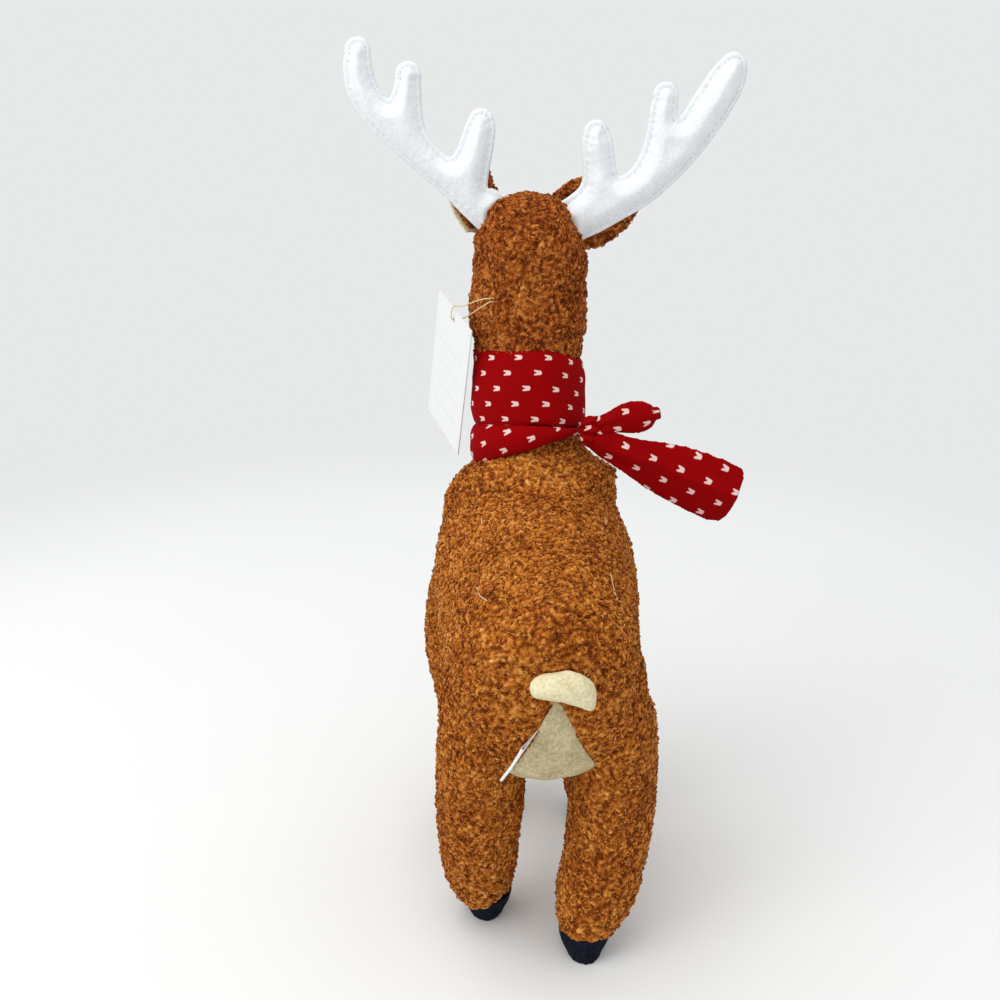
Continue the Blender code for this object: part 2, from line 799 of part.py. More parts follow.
def leg_table():
    soles = (
        ("left_front", 1.0, FRONT_SOLE_FORWARD, FRONT_SOLE_STANCE, SHOULDER_STANCE),
        ("right_front", -1.0, FRONT_SOLE_FORWARD, FRONT_SOLE_STANCE, SHOULDER_STANCE),
        ("left_hind", 1.0, LEFT_HIND_SOLE_FORWARD, LEFT_HIND_SOLE_STANCE, LEFT_HIP_STANCE),
        ("right_hind", -1.0, RIGHT_HIND_SOLE_FORWARD, RIGHT_HIND_SOLE_STANCE, RIGHT_HIP_STANCE),
    )
    legs = []
    for name, direction, forward, stance, hip_stance in soles:
        front = "front" in name
        width = FRONT_LEG_WIDTH if front else HIND_LEG_WIDTH
        hip_forward = SHOULDER_FORWARD if front else HIP_FORWARD
        sole = Vector((direction * stance, -forward, 0))
        hip = Vector((direction * hip_stance, -hip_forward, 0))
        leg = {"name": name, "width": width, "sole": sole, "hip": hip}
        leg["place"] = Vector((SPINE_X, RUMP_Y, 0))
        leg["shares"] = FRONT_LEG_SHARES if front else HIND_LEG_SHARES
        legs.append(leg)
    return legs


def ground_slab(name, top):
    reach = TORSO_LENGTH * 2.0
    low = (-reach, -reach, top - LEG_HEIGHT)
    return slab(name, low, (reach, reach, top))


def sky_slab(name, foot):
    reach = TORSO_LENGTH * 2.0
    return slab(name, (-reach, -reach, foot), (reach, reach, foot + LEG_HEIGHT * 2.0))


def make_legs():
    torso_block = torso_form("torso_block_legs", GAP)
    ground = ground_slab("ground", 0)
    ground_inside = ground_slab("ground_inside", HOOF_FELT)
    ground_filling = ground_slab("ground_filling", HOOF_FELT + FILLING_GAP)
    below_fur = ground_slab("below_fur", HOOF_HEIGHT + GAP)
    above_hoof = sky_slab("above_hoof", HOOF_HEIGHT)
    for leg in leg_table():
        name = leg["name"]
        outer = leg_form(name + "_leg_outer", leg, 0)
        inner = leg_form(name + "_leg_inner", leg, -HOOF_FELT)
        combine(inner, ground_inside)
        skin = piece_of(outer, name + "_leg_skin", plush_material(name + "_leg_skin"))
        combine(skin, torso_block)
        combine(skin, inner)
        combine(skin, below_fur)
        hoof = piece_of(outer, name + "_hoof", hoof_felt_material(name + "_hoof"))
        combine(hoof, ground)
        combine(hoof, above_hoof)
        combine(hoof, inner)
        form = leg_form(name + "_leg_filling_form", leg, -HOOF_FELT - FILLING_GAP)
        filling = piece_of(form, name + "_leg_filling", stuffing_material(name + "_leg_filling"))
        combine(filling, ground_filling)
        combine(filling, torso_block)


def smooth_loop(points, steps):
    """A closed curve through the points, with so many steps between two of them."""
    count = len(points)
    loop = []
    for index in range(count):
        before, start, end, after = (points[(index + shift) % count] for shift in (-1, 0, 1, 2))
        for step in range(steps):
            t = step / steps
            curve = 2.0 * start + (end - before) * t
            curve += (2.0 * before - 5.0 * start + 4.0 * end - after) * t * t
            curve += (3.0 * start - before - 3.0 * end + after) * t * t * t
            loop.append(curve / 2.0)
    return loop


def distance_to_loop(point, loop):
    nearest = None
    for first, second in zip(loop, loop[1:] + loop[:1]):
        side = second - first
        share = max(0.0, min(1.0, (point - first).dot(side) / side.length_squared))
        away = (point - first - side * share).length
        nearest = away if nearest is None else min(nearest, away)
    return nearest


def is_inside(point, loop):
    inside = False
    for first, second in zip(loop, loop[1:] + loop[:1]):
        if (first.y > point.y) != (second.y > point.y):
            crossing = first.x + (point.y - first.y) * (second.x - first.x) / (second.y - first.y)
            if point.x < crossing:
                inside = not inside
    return inside


def root_share(point, outward):
    """How far a point lies beyond the head, up the slope of the antler's root."""
    rise = ANTLER_ROOT_SLOPE_SHARE * point.y / ANTLER_HEIGHT
    return outward * point.x / ANTLER_REACH + rise - ANTLER_ROOT_LEVEL_SHARE


def antler_swell(point, loop, outward):
    """Flat along the stitched flange and at the root, then a round swell up to the crown."""
    from_root = root_share(point, outward) * ANTLER_REACH
    distance = min(distance_to_loop(point, loop), from_root + ANTLER_FLANGE)
    share = max(0.0, min(1.0, (distance - ANTLER_FLANGE) / ANTLER_SWELL))
    return ANTLER_CROWN * math.sin(share * math.pi / 2.0)


def quilt_grid(loop, spacing, margin):
    """Points inside an outline, in staggered rows, at least a margin from its edge."""
    low_x = min(point.x for point in loop)
    high_x = max(point.x for point in loop)
    low_y = min(point.y for point in loop)
    high_y = max(point.y for point in loop)
    found = []
    rows = int((high_y - low_y) / spacing) + 1
    columns = int((high_x - low_x) / spacing) + 1
    for row in range(rows + 1):
        shift = spacing / 2.0 if row % 2 else 0.0
        for column in range(columns + 1):
            point = Vector((low_x + shift + column * spacing, low_y + row * spacing))
            if is_inside(point, loop) and distance_to_loop(point, loop) > margin:
                found.append(point)
    return found


def quilt(loop, spacing):
    """The outline filled with triangles: their points, and their corners by number."""
    points = loop + quilt_grid(loop, spacing, spacing * QUILT_MARGIN_SHARE)
    edges = [(index, (index + 1) % len(loop)) for index in range(len(loop))]
    found, _, faces, _, _, _ = delaunay_2d_cdt(points, edges, [], 1, GAP / 100.0)
    return found, faces


def closed_sheet(name, found, faces, lows, highs):
    """A closed body between two heights at each point of a filled outline."""
    builder = bmesh.new()
    lower = [builder.verts.new((spot.x, spot.y, low)) for spot, low in zip(found, lows)]
    upper = [builder.verts.new((spot.x, spot.y, high)) for spot, high in zip(found, highs)]
    sides = set()
    for face in faces:
        builder.faces.new([lower[index] for index in face[::-1]])
        builder.faces.new([upper[index] for index in face])
        sides.update(zip(face, face[1:] + face[:1]))
    for first, second in sorted(sides):
        if (second, first) not in sides:
            builder.faces.new((lower[first], lower[second], upper[second], upper[first]))
    return mesh_from(builder, name)


def sewn_layer(name, filled, heights, seat, thickness):
    """One felt layer, whose inner face rises from the seat by the swell at each point."""
    found, faces = filled
    lows = [seat + height for height in heights]
    highs = [seat + height + thickness for height in heights]
    return closed_sheet(name, found, faces, lows, highs)


def height_between(spot, filled, heights):
    """The swell of the felt at any spot, read from the triangle that holds it."""
    found, faces = filled
    for corners in faces:
        first, second, third = (found[index] for index in corners)
        area = (second - first).cross(third - first)
        near_second = (spot - first).cross(third - first) / area
        near_third = (second - first).cross(spot - first) / area
        near_first = 1.0 - near_second - near_third
        if min(near_first, near_second, near_third) > -GAP:
            weights = (near_first, near_second, near_third)
            return sum(weight * heights[index] for weight, index in zip(weights, corners))
    return 0.0


def sewn_filling(name, loop, filled, heights, is_kept):
    """The wadding between two sewn layers, ending where the flat flange starts."""
    start = ANTLER_FLANGE + ANTLER_SPACING * WADDING_START_SHARE
    rim_loop = [point for point in shrunk_loop(loop, start) if is_kept(point)]
    found, faces = quilt(rim_loop, ANTLER_SPACING)
    highs = []
    for spot in found:
        is_rim = distance_to_loop(spot, rim_loop) < GAP
        share = WADDING_RIM_SHARE if is_rim else WADDING_FILL_SHARE
        highs.append(height_between(spot, filled, heights) * share)
    return closed_sheet(name, found, faces, [-height for height in highs], highs)


def shrunk_loop(loop, distance):
    """The outline moved inward, its corner points dropped where they would cross."""
    moved = []
    count = len(loop)
    for index, point in enumerate(loop):
        along = (loop[(index + 1) % count] - loop[index - 1]).normalized()
        inward = Vector((-along.y, along.x))
        candidate = point + inward * distance
        if not is_inside(candidate, loop):
            candidate = point - inward * distance
        if is_inside(candidate, loop) and distance_to_loop(candidate, loop) > distance * SHRINK_SHARE:
            moved.append(candidate)
    return moved


def antler_table():
    rows = (
        ("left", 1.0, LEFT_ANTLER_SHARES, LEFT_ROOT_OUT, LEFT_ROOT_HEIGHT),
        ("right", -1.0, RIGHT_ANTLER_SHARES, RIGHT_ROOT_OUT, RIGHT_ROOT_HEIGHT),
    )
    for side, direction, shares, out, height in rows:
        spot = Vector((HEAD_PLACE.x + direction * out, RUMP_Y - ANTLER_FORWARD, height))
        outline = []
        for outward, upward in shares:
            outline.append(Vector((direction * outward * ANTLER_REACH, upward * ANTLER_HEIGHT)))
        if direction < 0:
            outline = outline[::-1]
        yield side, spot, smooth_loop(outline, ANTLER_CURVE_STEPS)


def make_antlers():
    """Each antler bends at its root, about a line in its back layer."""
    head_block = head_form("head_block_antlers", FLEX_GAP)
    upright = (math.pi / 2.0, 0, 0)
    for side, spot, loop in antler_table():
        filled = quilt(loop, ANTLER_SPACING)
        outward = -1.0 if side == "right" else 1.0
        heights = [antler_swell(point, loop, outward) for point in filled[0]]
        layer = sewn_layer(side + "_antler_layer", filled, heights, GAP / 2.0, FELT_WALL)
        back = layer.copy()
        back.transform(Matrix.Scale(-1.0, 4, Vector((0, 0, 1))))
        back.flip_normals()
        hinge = spot + Vector((0, ANTLER_HINGE_BACK, 0))
        forward = Matrix.Translation((0, 0, ANTLER_HINGE_BACK))
        front_name = side + "_antler_front_felt"
        back_name = side + "_antler_back_felt"
        filling_name = side + "_antler_filling"
        front_item = show(front_name, layer, white_felt_material(front_name), hinge, upright)
        back_item = show(back_name, back, white_felt_material(back_name), hinge, upright)

        def is_beyond_root(point):
            return root_share(point, outward) > ANTLER_ROOT_CLIP_SHARE

        wadding = sewn_filling(filling_name, loop, filled, heights, is_beyond_root)
        show(filling_name, wadding, stuffing_material(filling_name), hinge, upright)
        for mesh in (layer, back, wadding):
            mesh.transform(forward)
        for item in (front_item, back_item):
            combine(item, head_block)


def ear_sheet(name, width, hollow, scale, offset):
    """A cupped leaf: an open grid along +X that is flat at its root and thickened afterwards."""
    builder = bmesh.new()
    grid = []
    for row in range(EAR_ROWS):
        along = row / (EAR_ROWS - 1)
        angle = math.pi * (EAR_START_SHARE + EAR_SPAN_SHARE * along)
        breadth = math.sin(angle) ** EAR_FULLNESS
        half = width / 2.0 * breadth * scale
        depth = hollow * min(1.0, along / EAR_CUP_START_SHARE)
        line = []
        for column in range(EAR_COLUMNS):
            across = 2.0 * column / (EAR_COLUMNS - 1) - 1.0
            cup = depth * (across * breadth) ** 2 + offset - EAR_HINGE_RISE
            reach = EAR_LENGTH * (0.5 + (along - 0.5) * scale) - EAR_SINK
            line.append(builder.verts.new((reach, across * half, cup)))
        grid.append(line)
    for lower, upper in zip(grid, grid[1:]):
        for index in range(EAR_COLUMNS - 1):
            builder.faces.new((lower[index], lower[index + 1], upper[index + 1], upper[index]))
    return mesh_from(builder, name)


def thicken(item, thickness, offset):
    modifier = item.modifiers.new("cloth", "SOLIDIFY")
    modifier.thickness = thickness
    modifier.offset = offset


def ear_turn(direction, rise, lead, twist):
    """The ear's length along its own X, and its lining on its Z side, turned about that length."""
    flat = math.cos(lead)
    along = Vector((direction * math.cos(rise) * flat, -math.sin(lead), math.sin(rise) * flat))
    lining = Vector((0, -1, 0))
    lining -= along * lining.dot(along)
    lining.normalize()
    lining.rotate(Quaternion(along, direction * twist))
    across = lining.cross(along)
    return Matrix((along, across, lining)).transposed().to_euler()


def ear_table():
    """Each ear stands where its own line from inside the head leaves the fur.

    It bends about a line in the face of its lining.
    """
    form = head_form("head_form_ears", 0)
    left = (LEFT_EAR_OUT, LEFT_EAR_FORWARD, LEFT_EAR_HEIGHT, LEFT_EAR_WIDTH, LEFT_EAR_CUP)
    right = (RIGHT_EAR_OUT, RIGHT_EAR_FORWARD, RIGHT_EAR_HEIGHT, RIGHT_EAR_WIDTH, RIGHT_EAR_CUP)
    left_turn = ear_turn(1.0, LEFT_EAR_RISE, LEFT_EAR_LEAD, LEFT_EAR_TWIST)
    right_turn = ear_turn(-1.0, RIGHT_EAR_RISE, RIGHT_EAR_LEAD, RIGHT_EAR_TWIST)
    rows = (("left", 1.0, left, left_turn), ("right", -1.0, right, right_turn))
    for side, direction, (out, forward, height, width, cup), turn in rows:
        start = Vector((HEAD_PLACE.x + direction * out, RUMP_Y - forward, height))
        axes = turn.to_matrix()
        spot, _ = surface_spot(form, start, axes.col[0])
        yield side, spot + axes.col[2] * EAR_HINGE_RISE, turn, width, cup


def make_ears():
    head_block = head_form("head_block_ears", FLEX_GAP)
    for side, spot, turn, width, cup in ear_table():
        name = side + "_ear"
        mesh = ear_sheet(name, width, cup, 1.0, 0.0)
        outer = show(name, mesh, plush_material(name), spot, turn)
        thicken(outer, EAR_THICKNESS, -1.0)
        name = side + "_ear_lining"
        mesh = ear_sheet(name, width, cup, LINING_SHARE, LINING_GAP)
        lining = show(name, mesh, cream_felt_material(name), spot, turn)
        thicken(lining, FELT_WALL, 1.0)
        combine(outer, head_block)
        combine(lining, head_block)


def make_tail():
    """The roll stands off the rump, and hangs from the stitches at the top of its seat."""
    torso_block = torso_form("torso_block_tail", FLEX_GAP)
    form = torso_form("torso_form_tail", 0)
    rearward = Vector((0, 1, 0))
    start = Vector((SPINE_X - TAIL_SIDE_STEP, RUMP_Y - TORSO_LENGTH / 2.0, TAIL_SEAT_HEIGHT))
    seat, _ = surface_spot(form, start, rearward)
    hinge, _ = surface_spot(form, start + Vector((0, 0, TAIL_THICKNESS / 2.0)), rearward)
    turn = Euler((0, TAIL_ROLL, 0))
    middle = turn.to_matrix().inverted() @ (seat - hinge)
    middle.y += TAIL_LENGTH / 2.0 + FLEX_GAP
    rings = []
    for along, rise, size in TAIL_SHARES:
        centre = middle + Vector((-along * TAIL_WIDTH, 0, rise * TAIL_ARCH))
        outward = Vector((0, TAIL_LENGTH / 2.0 * size, 0))
        upward = Vector((0, 0, TAIL_THICKNESS / 2.0 * size))
        rings.append(section(centre, outward, upward, SMALL_FORM_SIDES))
    name = "tail"
    item = show(name, cage(name, rings), cream_felt_material(name), hinge, turn)
    subdivide(item)
    combine(item, torso_block)


def neck_point(along):
    """A point on the neck's axis, so far up it."""
    return NECK_PLACE + NECK_AXIS * along


BAND_INNER = NECK_WIDTH / 2.0 + BAND_INNER_GAP
BAND_OUTER = BAND_INNER + BAND_CLOTH


def band_profile(side_step):
    """The band's section where it passes so far to the deer's left: radius and height pairs."""
    top = BAND_TOP - side_step * math.tan(BAND_TOP_TILT)
    fold = BAND_FOLD - side_step * math.tan(BAND_FOLD_TILT)
    foot = BAND_FOOT - side_step * math.tan(BAND_FOOT_TILT)
    half = BAND_CLOTH / 2.0
    bulge = BAND_OUTER + BAND_FOLD_SWELL + BAND_FLARE
    return (
        (BAND_INNER + half, top),
        (BAND_OUTER, top - half),
        (BAND_OUTER + BAND_FLARE / 2.0, (top + fold) / 2.0),
        (BAND_OUTER + BAND_FLARE, fold),
        (bulge, fold - half),
        (bulge, (fold + foot) / 2.0),
        (BAND_OUTER + BAND_FLARE, foot + half),
        (BAND_INNER + half, foot),
        (BAND_INNER, foot + half),
        (BAND_INNER, top - half),
    )


def make_scarf_band():
    """Two wraps in one ring: the upper wrap, and the lower one that bulges under the fold."""
    builder = bmesh.new()
    rings = []
    for step in range(BAND_STEPS):
        angle = 2.0 * math.pi * step / BAND_STEPS
        ring = []
        for radius, height in band_profile(BAND_OUTER * math.cos(angle)):
            spot = (radius * math.cos(angle), radius * math.sin(angle), height)
            ring.append(builder.verts.new(spot))
        rings.append(ring)
    count = len(rings[0])
    for ring, beside in zip(rings, rings[1:] + rings[:1]):
        for index in range(count):
            following = (index + 1) % count
            builder.faces.new((ring[index], beside[index], beside[following], ring[following]))
    name = "scarf_band"
    mesh = mesh_from(builder, name)
    return show(name, mesh, jersey_material(name), NECK_PLACE, NECK_TURN)


def knot_place():
    """The knot's middle, on the slope under the band's fold at the deer's right."""
    reach = BAND_OUTER + BAND_FOLD_SWELL + BAND_FLARE - KNOT_SINK + GAP + KNOT_WIDTH / 2.0
    outward = Vector((-math.cos(KNOT_TURN), math.sin(KNOT_TURN), 0))
    return neck_point(KNOT_ALONG) + outward * reach


def knot_cage():
    rings = []
    for along, size in KNOT_SHARES:
        centre = Vector((0, 0, along * KNOT_HEIGHT))
        across = Vector((KNOT_WIDTH / 2.0 * size, 0, 0))
        upward = Vector((0, KNOT_DEPTH / 2.0 * size, 0))
        rings.append(section(centre, across, upward, SMALL_FORM_SIDES))
    return cage("knot_cage", rings)


def knot_form(name, swelling):
    item = hide(name, knot_cage(), knot_place(), (0, 0, -KNOT_TURN))
    subdivide(item)
    if swelling:
        swell(item, swelling)
    return item


def make_knot():
    name = "scarf_knot"
    return piece_of(knot_form("knot_outer", 0), name, jersey_material(name))


def make_scarf_tail(name, length, width, fall, lift):
    """A flat folded strip that starts at the knot and runs out along its own -X."""
    knot_block = knot_form(name + "_knot_block", FLEX_GAP)
    root = KNOT_WIDTH / 2.0 - TAIL_ROOT_SINK
    rings = []
    for along, half, wave in SCARF_TAIL_SHARES:
        centre = Vector((-root - along * length, wave * TAIL_CLOTH, lift))
        across = Vector((0, TAIL_CLOTH / 2.0, 0))
        upward = Vector((0, 0, half * width))
        rings.append(section(centre, across, upward, SCARF_TAIL_SIDES))
    turn = (0, -fall, -TAIL_SWAY)
    item = show(name, cage(name, rings), jersey_material(name), knot_place(), turn)
    subdivide(item)
    combine(item, knot_block)
    return item


def make_scarf():
    band = make_scarf_band()
    knot = make_knot()
    short = (SHORT_TAIL_LENGTH, SHORT_TAIL_WIDTH, -SHORT_TAIL_RISE, SHORT_TAIL_LIFT)
    long = (LONG_TAIL_LENGTH, LONG_TAIL_WIDTH, LONG_TAIL_FALL, -LONG_TAIL_DROP)
    carry(knot, band)
    carry(make_scarf_tail("scarf_short_tail", *short), knot)
    carry(make_scarf_tail("scarf_long_tail", *long), knot)


def tag_pivot():
    """An empty where the thread leaves the neck, which the tag swings about."""
    empty = bpy.data.objects.new("tag_pivot", None)
    out = HEAD_PLACE.x + TAG_PIVOT_OUT
    empty.location = (out, RUMP_Y - TAG_PIVOT_FORWARD, TAG_PIVOT_HEIGHT)
    PARTS.objects.link(empty)
    return empty


def make_tag(pivot):
    name = "hang_tag"
    builder = bmesh.new()
    bmesh.ops.create_cube(builder, size=1.0)
    size = Vector((TAG_WIDTH, TAG_THICKNESS, TAG_HEIGHT))
    bmesh.ops.scale(builder, vec=size, verts=builder.verts[:])
    drop = Vector((0, 0, TAG_HOLE_DROP - TAG_HEIGHT / 2.0))
    bmesh.ops.translate(builder, vec=drop, verts=builder.verts[:])
    item = show(name, mesh_from(builder, name), card_material(name), tag_hole(), tag_turn())
    hole = cylinder("tag_hole_bore", TAG_HOLE_DIAMETER / 2.0, TAG_THICKNESS + OVERRUN)
    hole.transform(Matrix.Rotation(math.pi / 2.0, 4, "X"))
    combine(item, hide("tag_hole_bore", hole, tag_hole(), tag_turn()))
    carry(item, pivot)


def tag_hole():
    out = HEAD_PLACE.x + TAG_HOLE_OUT
    return Vector((out, RUMP_Y - TAG_HOLE_FORWARD, TAG_HOLE_HEIGHT))


def tag_turn():
    return Euler((0, TAG_ROLL, TAG_TURN), "XYZ")


def open_curve(points, steps):
    """A smooth line through the points, with so many steps between two of them."""
    padded = [points[0] * 2.0 - points[1]] + points + [points[-1] * 2.0 - points[-2]]
    line = []
    for before, start, end, after in zip(padded, padded[1:], padded[2:], padded[3:]):
        for step in range(steps):
            t = step / steps
            curve = 2.0 * start + (end - before) * t
            curve += (2.0 * before - 5.0 * start + 4.0 * end - after) * t * t
            curve += (3.0 * start - before - 3.0 * end + after) * t * t * t
            line.append(curve / 2.0)
    line.append(points[-1])
    return line


def make_thread(pivot):
    name = "tag_string"
    line = open_curve([Vector(point) for point in THREAD_ROUTE], THREAD_STEPS)
    curve = bpy.data.curves.new(name, "CURVE")
    curve.dimensions = "3D"
    curve.bevel_depth = THREAD_DIAMETER / 2.0
    curve.bevel_resolution = THREAD_ROUND_STEPS
    curve.use_fill_caps = True
    spline = curve.splines.new("POLY")
    spline.points.add(len(line) - 1)
    for point, spot in zip(spline.points, line):
        point.co = (*spot, 1.0)
    curve.materials.append(thread_material(name))
    item = bpy.data.objects.new(name, curve)
    PARTS.objects.link(item)
    carry(item, pivot)


def label_seat(height):
    """A point of the gusset's left seam at a height, where it lies on the rump."""
    slope = GUSSET_FOOT_WIDTH / 2.0 / (GUSSET_APEX_HEIGHT - GUSSET_FOOT_HEIGHT)
    side = SPINE_X - GUSSET_SIDE_STEP + (GUSSET_APEX_HEIGHT - height) * slope
    start = Vector((side, RUMP_Y - TORSO_LENGTH / 2.0, height))
    spot, _ = surface_spot(torso_form("torso_form_label", 0), start, Vector((0, 1, 0)))
    return spot


def make_label():
    """A ribbon folded once, its two ends in the seam."""
    torso_block = torso_form("torso_block_label", FLEX_GAP)
    builder = bmesh.new()
    path = [(along * LABEL_LENGTH, rise * LABEL_FOLD) for along, rise in LABEL_SHARES]
    path += [(along, -rise) for along, rise in path[-2::-1]]
    rows = []
    for along, rise in path:
        ends = (-LABEL_WIDTH, 0)
        rows.append([builder.verts.new((along - LABEL_SEAT, rise, end)) for end in ends])
    for first, second in zip(rows, rows[1:]):
        builder.faces.new((first[0], first[1], second[1], second[0]))
    name = "care_label"
    top = label_seat(LABEL_TOP_HEIGHT)
    upward = (top - label_seat(LABEL_TOP_HEIGHT - LABEL_WIDTH)).normalized()
    outward = Vector((math.sin(LABEL_TURN), math.cos(LABEL_TURN), 0))
    outward = (outward - upward * outward.dot(upward)).normalized()
    turn = Matrix((outward, upward.cross(outward), upward)).transposed().to_euler()
    item = show(name, mesh_from(builder, name), card_material(name), top, turn)
    thicken(item, LABEL_THICKNESS, 0.0)
    combine(item, torso_block)


make_torso()
make_neck()
make_head()
make_eyes()
make_nose()
make_legs()
make_antlers()
make_ears()
make_tail()
make_scarf()
TAG_PIVOT = tag_pivot()
make_tag(TAG_PIVOT)
make_thread(TAG_PIVOT)
make_label()
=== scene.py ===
# %% [markdown]
# # A plush deer with felt antlers and a knitted scarf
#
# The measured parts of this toy are plain stuffed forms. This lesson dresses them: a curly coat over the
# body, felt over the antlers, a jersey scarf round the neck and a card on a thread. Every piece stands where
# its measured part stands and moves with it, so the lesson starts by loading those parts.

import math

import bmesh
import bpy
import numpy as np
from mathutils import Euler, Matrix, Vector
from mathutils.bvhtree import BVHTree
from mathutils.geometry import delaunay_2d_cdt


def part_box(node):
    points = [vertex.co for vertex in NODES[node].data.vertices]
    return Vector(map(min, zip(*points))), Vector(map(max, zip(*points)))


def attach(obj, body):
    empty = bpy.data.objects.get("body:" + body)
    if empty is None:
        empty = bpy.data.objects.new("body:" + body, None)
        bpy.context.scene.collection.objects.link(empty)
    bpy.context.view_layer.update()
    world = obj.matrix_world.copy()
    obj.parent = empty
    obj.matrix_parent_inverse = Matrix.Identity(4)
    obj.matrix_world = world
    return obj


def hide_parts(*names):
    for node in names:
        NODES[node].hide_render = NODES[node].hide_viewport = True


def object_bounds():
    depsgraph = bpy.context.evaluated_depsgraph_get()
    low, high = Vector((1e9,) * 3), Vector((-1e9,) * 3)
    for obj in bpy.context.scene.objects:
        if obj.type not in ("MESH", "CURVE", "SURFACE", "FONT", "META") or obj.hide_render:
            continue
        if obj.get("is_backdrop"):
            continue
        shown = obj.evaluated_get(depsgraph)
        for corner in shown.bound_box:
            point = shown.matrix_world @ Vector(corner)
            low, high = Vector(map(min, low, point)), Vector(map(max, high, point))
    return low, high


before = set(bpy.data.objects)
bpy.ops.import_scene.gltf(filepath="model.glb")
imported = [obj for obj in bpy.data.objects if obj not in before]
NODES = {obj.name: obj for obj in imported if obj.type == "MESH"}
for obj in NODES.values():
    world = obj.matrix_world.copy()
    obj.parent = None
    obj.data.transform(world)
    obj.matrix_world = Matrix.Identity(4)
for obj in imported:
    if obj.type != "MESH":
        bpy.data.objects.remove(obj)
PARTS_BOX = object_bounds()
MM = 0.001
print("measured parts:", len(NODES))
print("their box:", [[round(value / MM, 1) for value in corner] for corner in PARTS_BOX], "mm")

# %% [markdown]
# ## The camera
#
# The photograph was taken from behind and a little above, close to the toy, so the head looks smaller than
# the rump. A lens that is too long would lose that, so the camera stands at the photographer's own distance,
# turned 2 degrees to the side and 20 degrees down.

# %% Place the camera
PITCH = math.radians(20.0)
YAW = math.radians(2.0)
LENS = 43.2
SENSOR = 36.0
CAMERA_SPOT = Vector((0.0432, 0.540, 0.390))
FRAME_PIXELS = 1000

aim = Vector((-math.sin(YAW) * math.cos(PITCH), -math.cos(YAW) * math.cos(PITCH), -math.sin(PITCH)))
camera_data = bpy.data.cameras.new("studio_camera")
camera_data.lens = LENS
camera_data.sensor_width = SENSOR
camera_data.clip_start = 0.02
camera = bpy.data.objects.new("studio_camera", camera_data)
camera.location = CAMERA_SPOT
camera.rotation_euler = aim.to_track_quat("-Z", "Y").to_euler()
bpy.context.scene.collection.objects.link(camera)
bpy.context.scene.camera = camera


def sight_line(across, down):
    """The direction from the camera through a spot of the square picture, counted in its pixels."""
    focal = LENS / SENSOR * FRAME_PIXELS
    middle = FRAME_PIXELS / 2.0
    direction = Vector((across - middle, middle - down, -focal))
    direction.rotate(camera.rotation_euler)
    return direction.normalized()


print("camera at", [round(value, 3) for value in camera.location], "lens", LENS)

# %% [markdown]
# ## The thread of the hang tag
#
# A thin cotton thread leaves the back of the neck, passes through the hole of the card and comes back. It is
# the one free cord on the toy. A curve with a round bevel is the natural way to make it: its line is the
# thread's own middle, so its length can be measured along it. The bevel is 1 metre and each point's radius
# scales it down to the thread's, because the curve's box is grown by that radius. It goes first, because the
# card hangs on it.

# %% Run the thread through its points
THREAD_DIAMETER = 0.6 * MM
THREAD_STEPS = 3
THREAD_ROUTE = (
    (26.60, -24.30, 284.20), (28.60, -22.50, 284.30), (31.60, -23.10, 282.40), (36.00, -27.80, 278.50),
    (40.60, -35.00, 274.30), (43.30, -40.80, 272.40), (45.20, -41.50, 272.20), (46.60, -40.90, 272.90),
    (46.70, -40.10, 275.60), (46.00, -39.40, 278.40), (44.50, -39.40, 279.40), (42.60, -38.60, 279.20),
    (39.20, -33.80, 281.00), (34.50, -26.70, 284.20), (30.60, -22.70, 285.90), (28.50, -22.70, 286.00),
    (26.50, -24.50, 285.80),
)


def curve_through(points, steps, closed=False):
    """A smooth line through rows of numbers, with so many steps between two of them."""
    points = np.asarray(points, float)
    if closed:
        rows = np.vstack([points[-1:], points, points[:2]])
    else:
        rows = np.vstack([2.0 * points[0] - points[1], points, 2.0 * points[-1] - points[-2]])
    line = []
    for before, start, end, after in zip(rows, rows[1:], rows[2:], rows[3:]):
        for step in range(steps):
            t = step / steps
            bend = (2.0 * before - 5.0 * start + 4.0 * end - after) * t * t
            bend += (3.0 * start - before - 3.0 * end + after) * t * t * t
            line.append((2.0 * start + (end - before) * t + bend) / 2.0)
    if not closed:
        line.append(points[-1])
    return np.array(line)


thread_line = curve_through(np.array(THREAD_ROUTE) * MM, THREAD_STEPS)
thread_curve = bpy.data.curves.new("tag_thread", "CURVE")
thread_curve.dimensions = "3D"
thread_curve.bevel_depth = 1.0
thread_curve.bevel_resolution = 2
thread_curve.use_fill_caps = True
spline = thread_curve.splines.new("POLY")
spline.points.add(len(thread_line) - 1)
for spot, place in zip(spline.points, thread_line):
    spot.co = (*place, 1.0)
    spot.radius = THREAD_DIAMETER / 2.0
thread = bpy.data.objects.new("tag_thread", thread_curve)
bpy.context.scene.collection.objects.link(thread)
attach(thread, "tag")
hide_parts("tag_string")

# %% [markdown]
# ## Shader maths written as sums
#
# Most finishes here mix colours by a number that changes over the surface. Wiring Math nodes by hand hides
# the formula, so a small class wraps a socket and lets Python's own signs add those nodes. Colours go
# through Mix nodes instead, because a Math node would turn them grey.

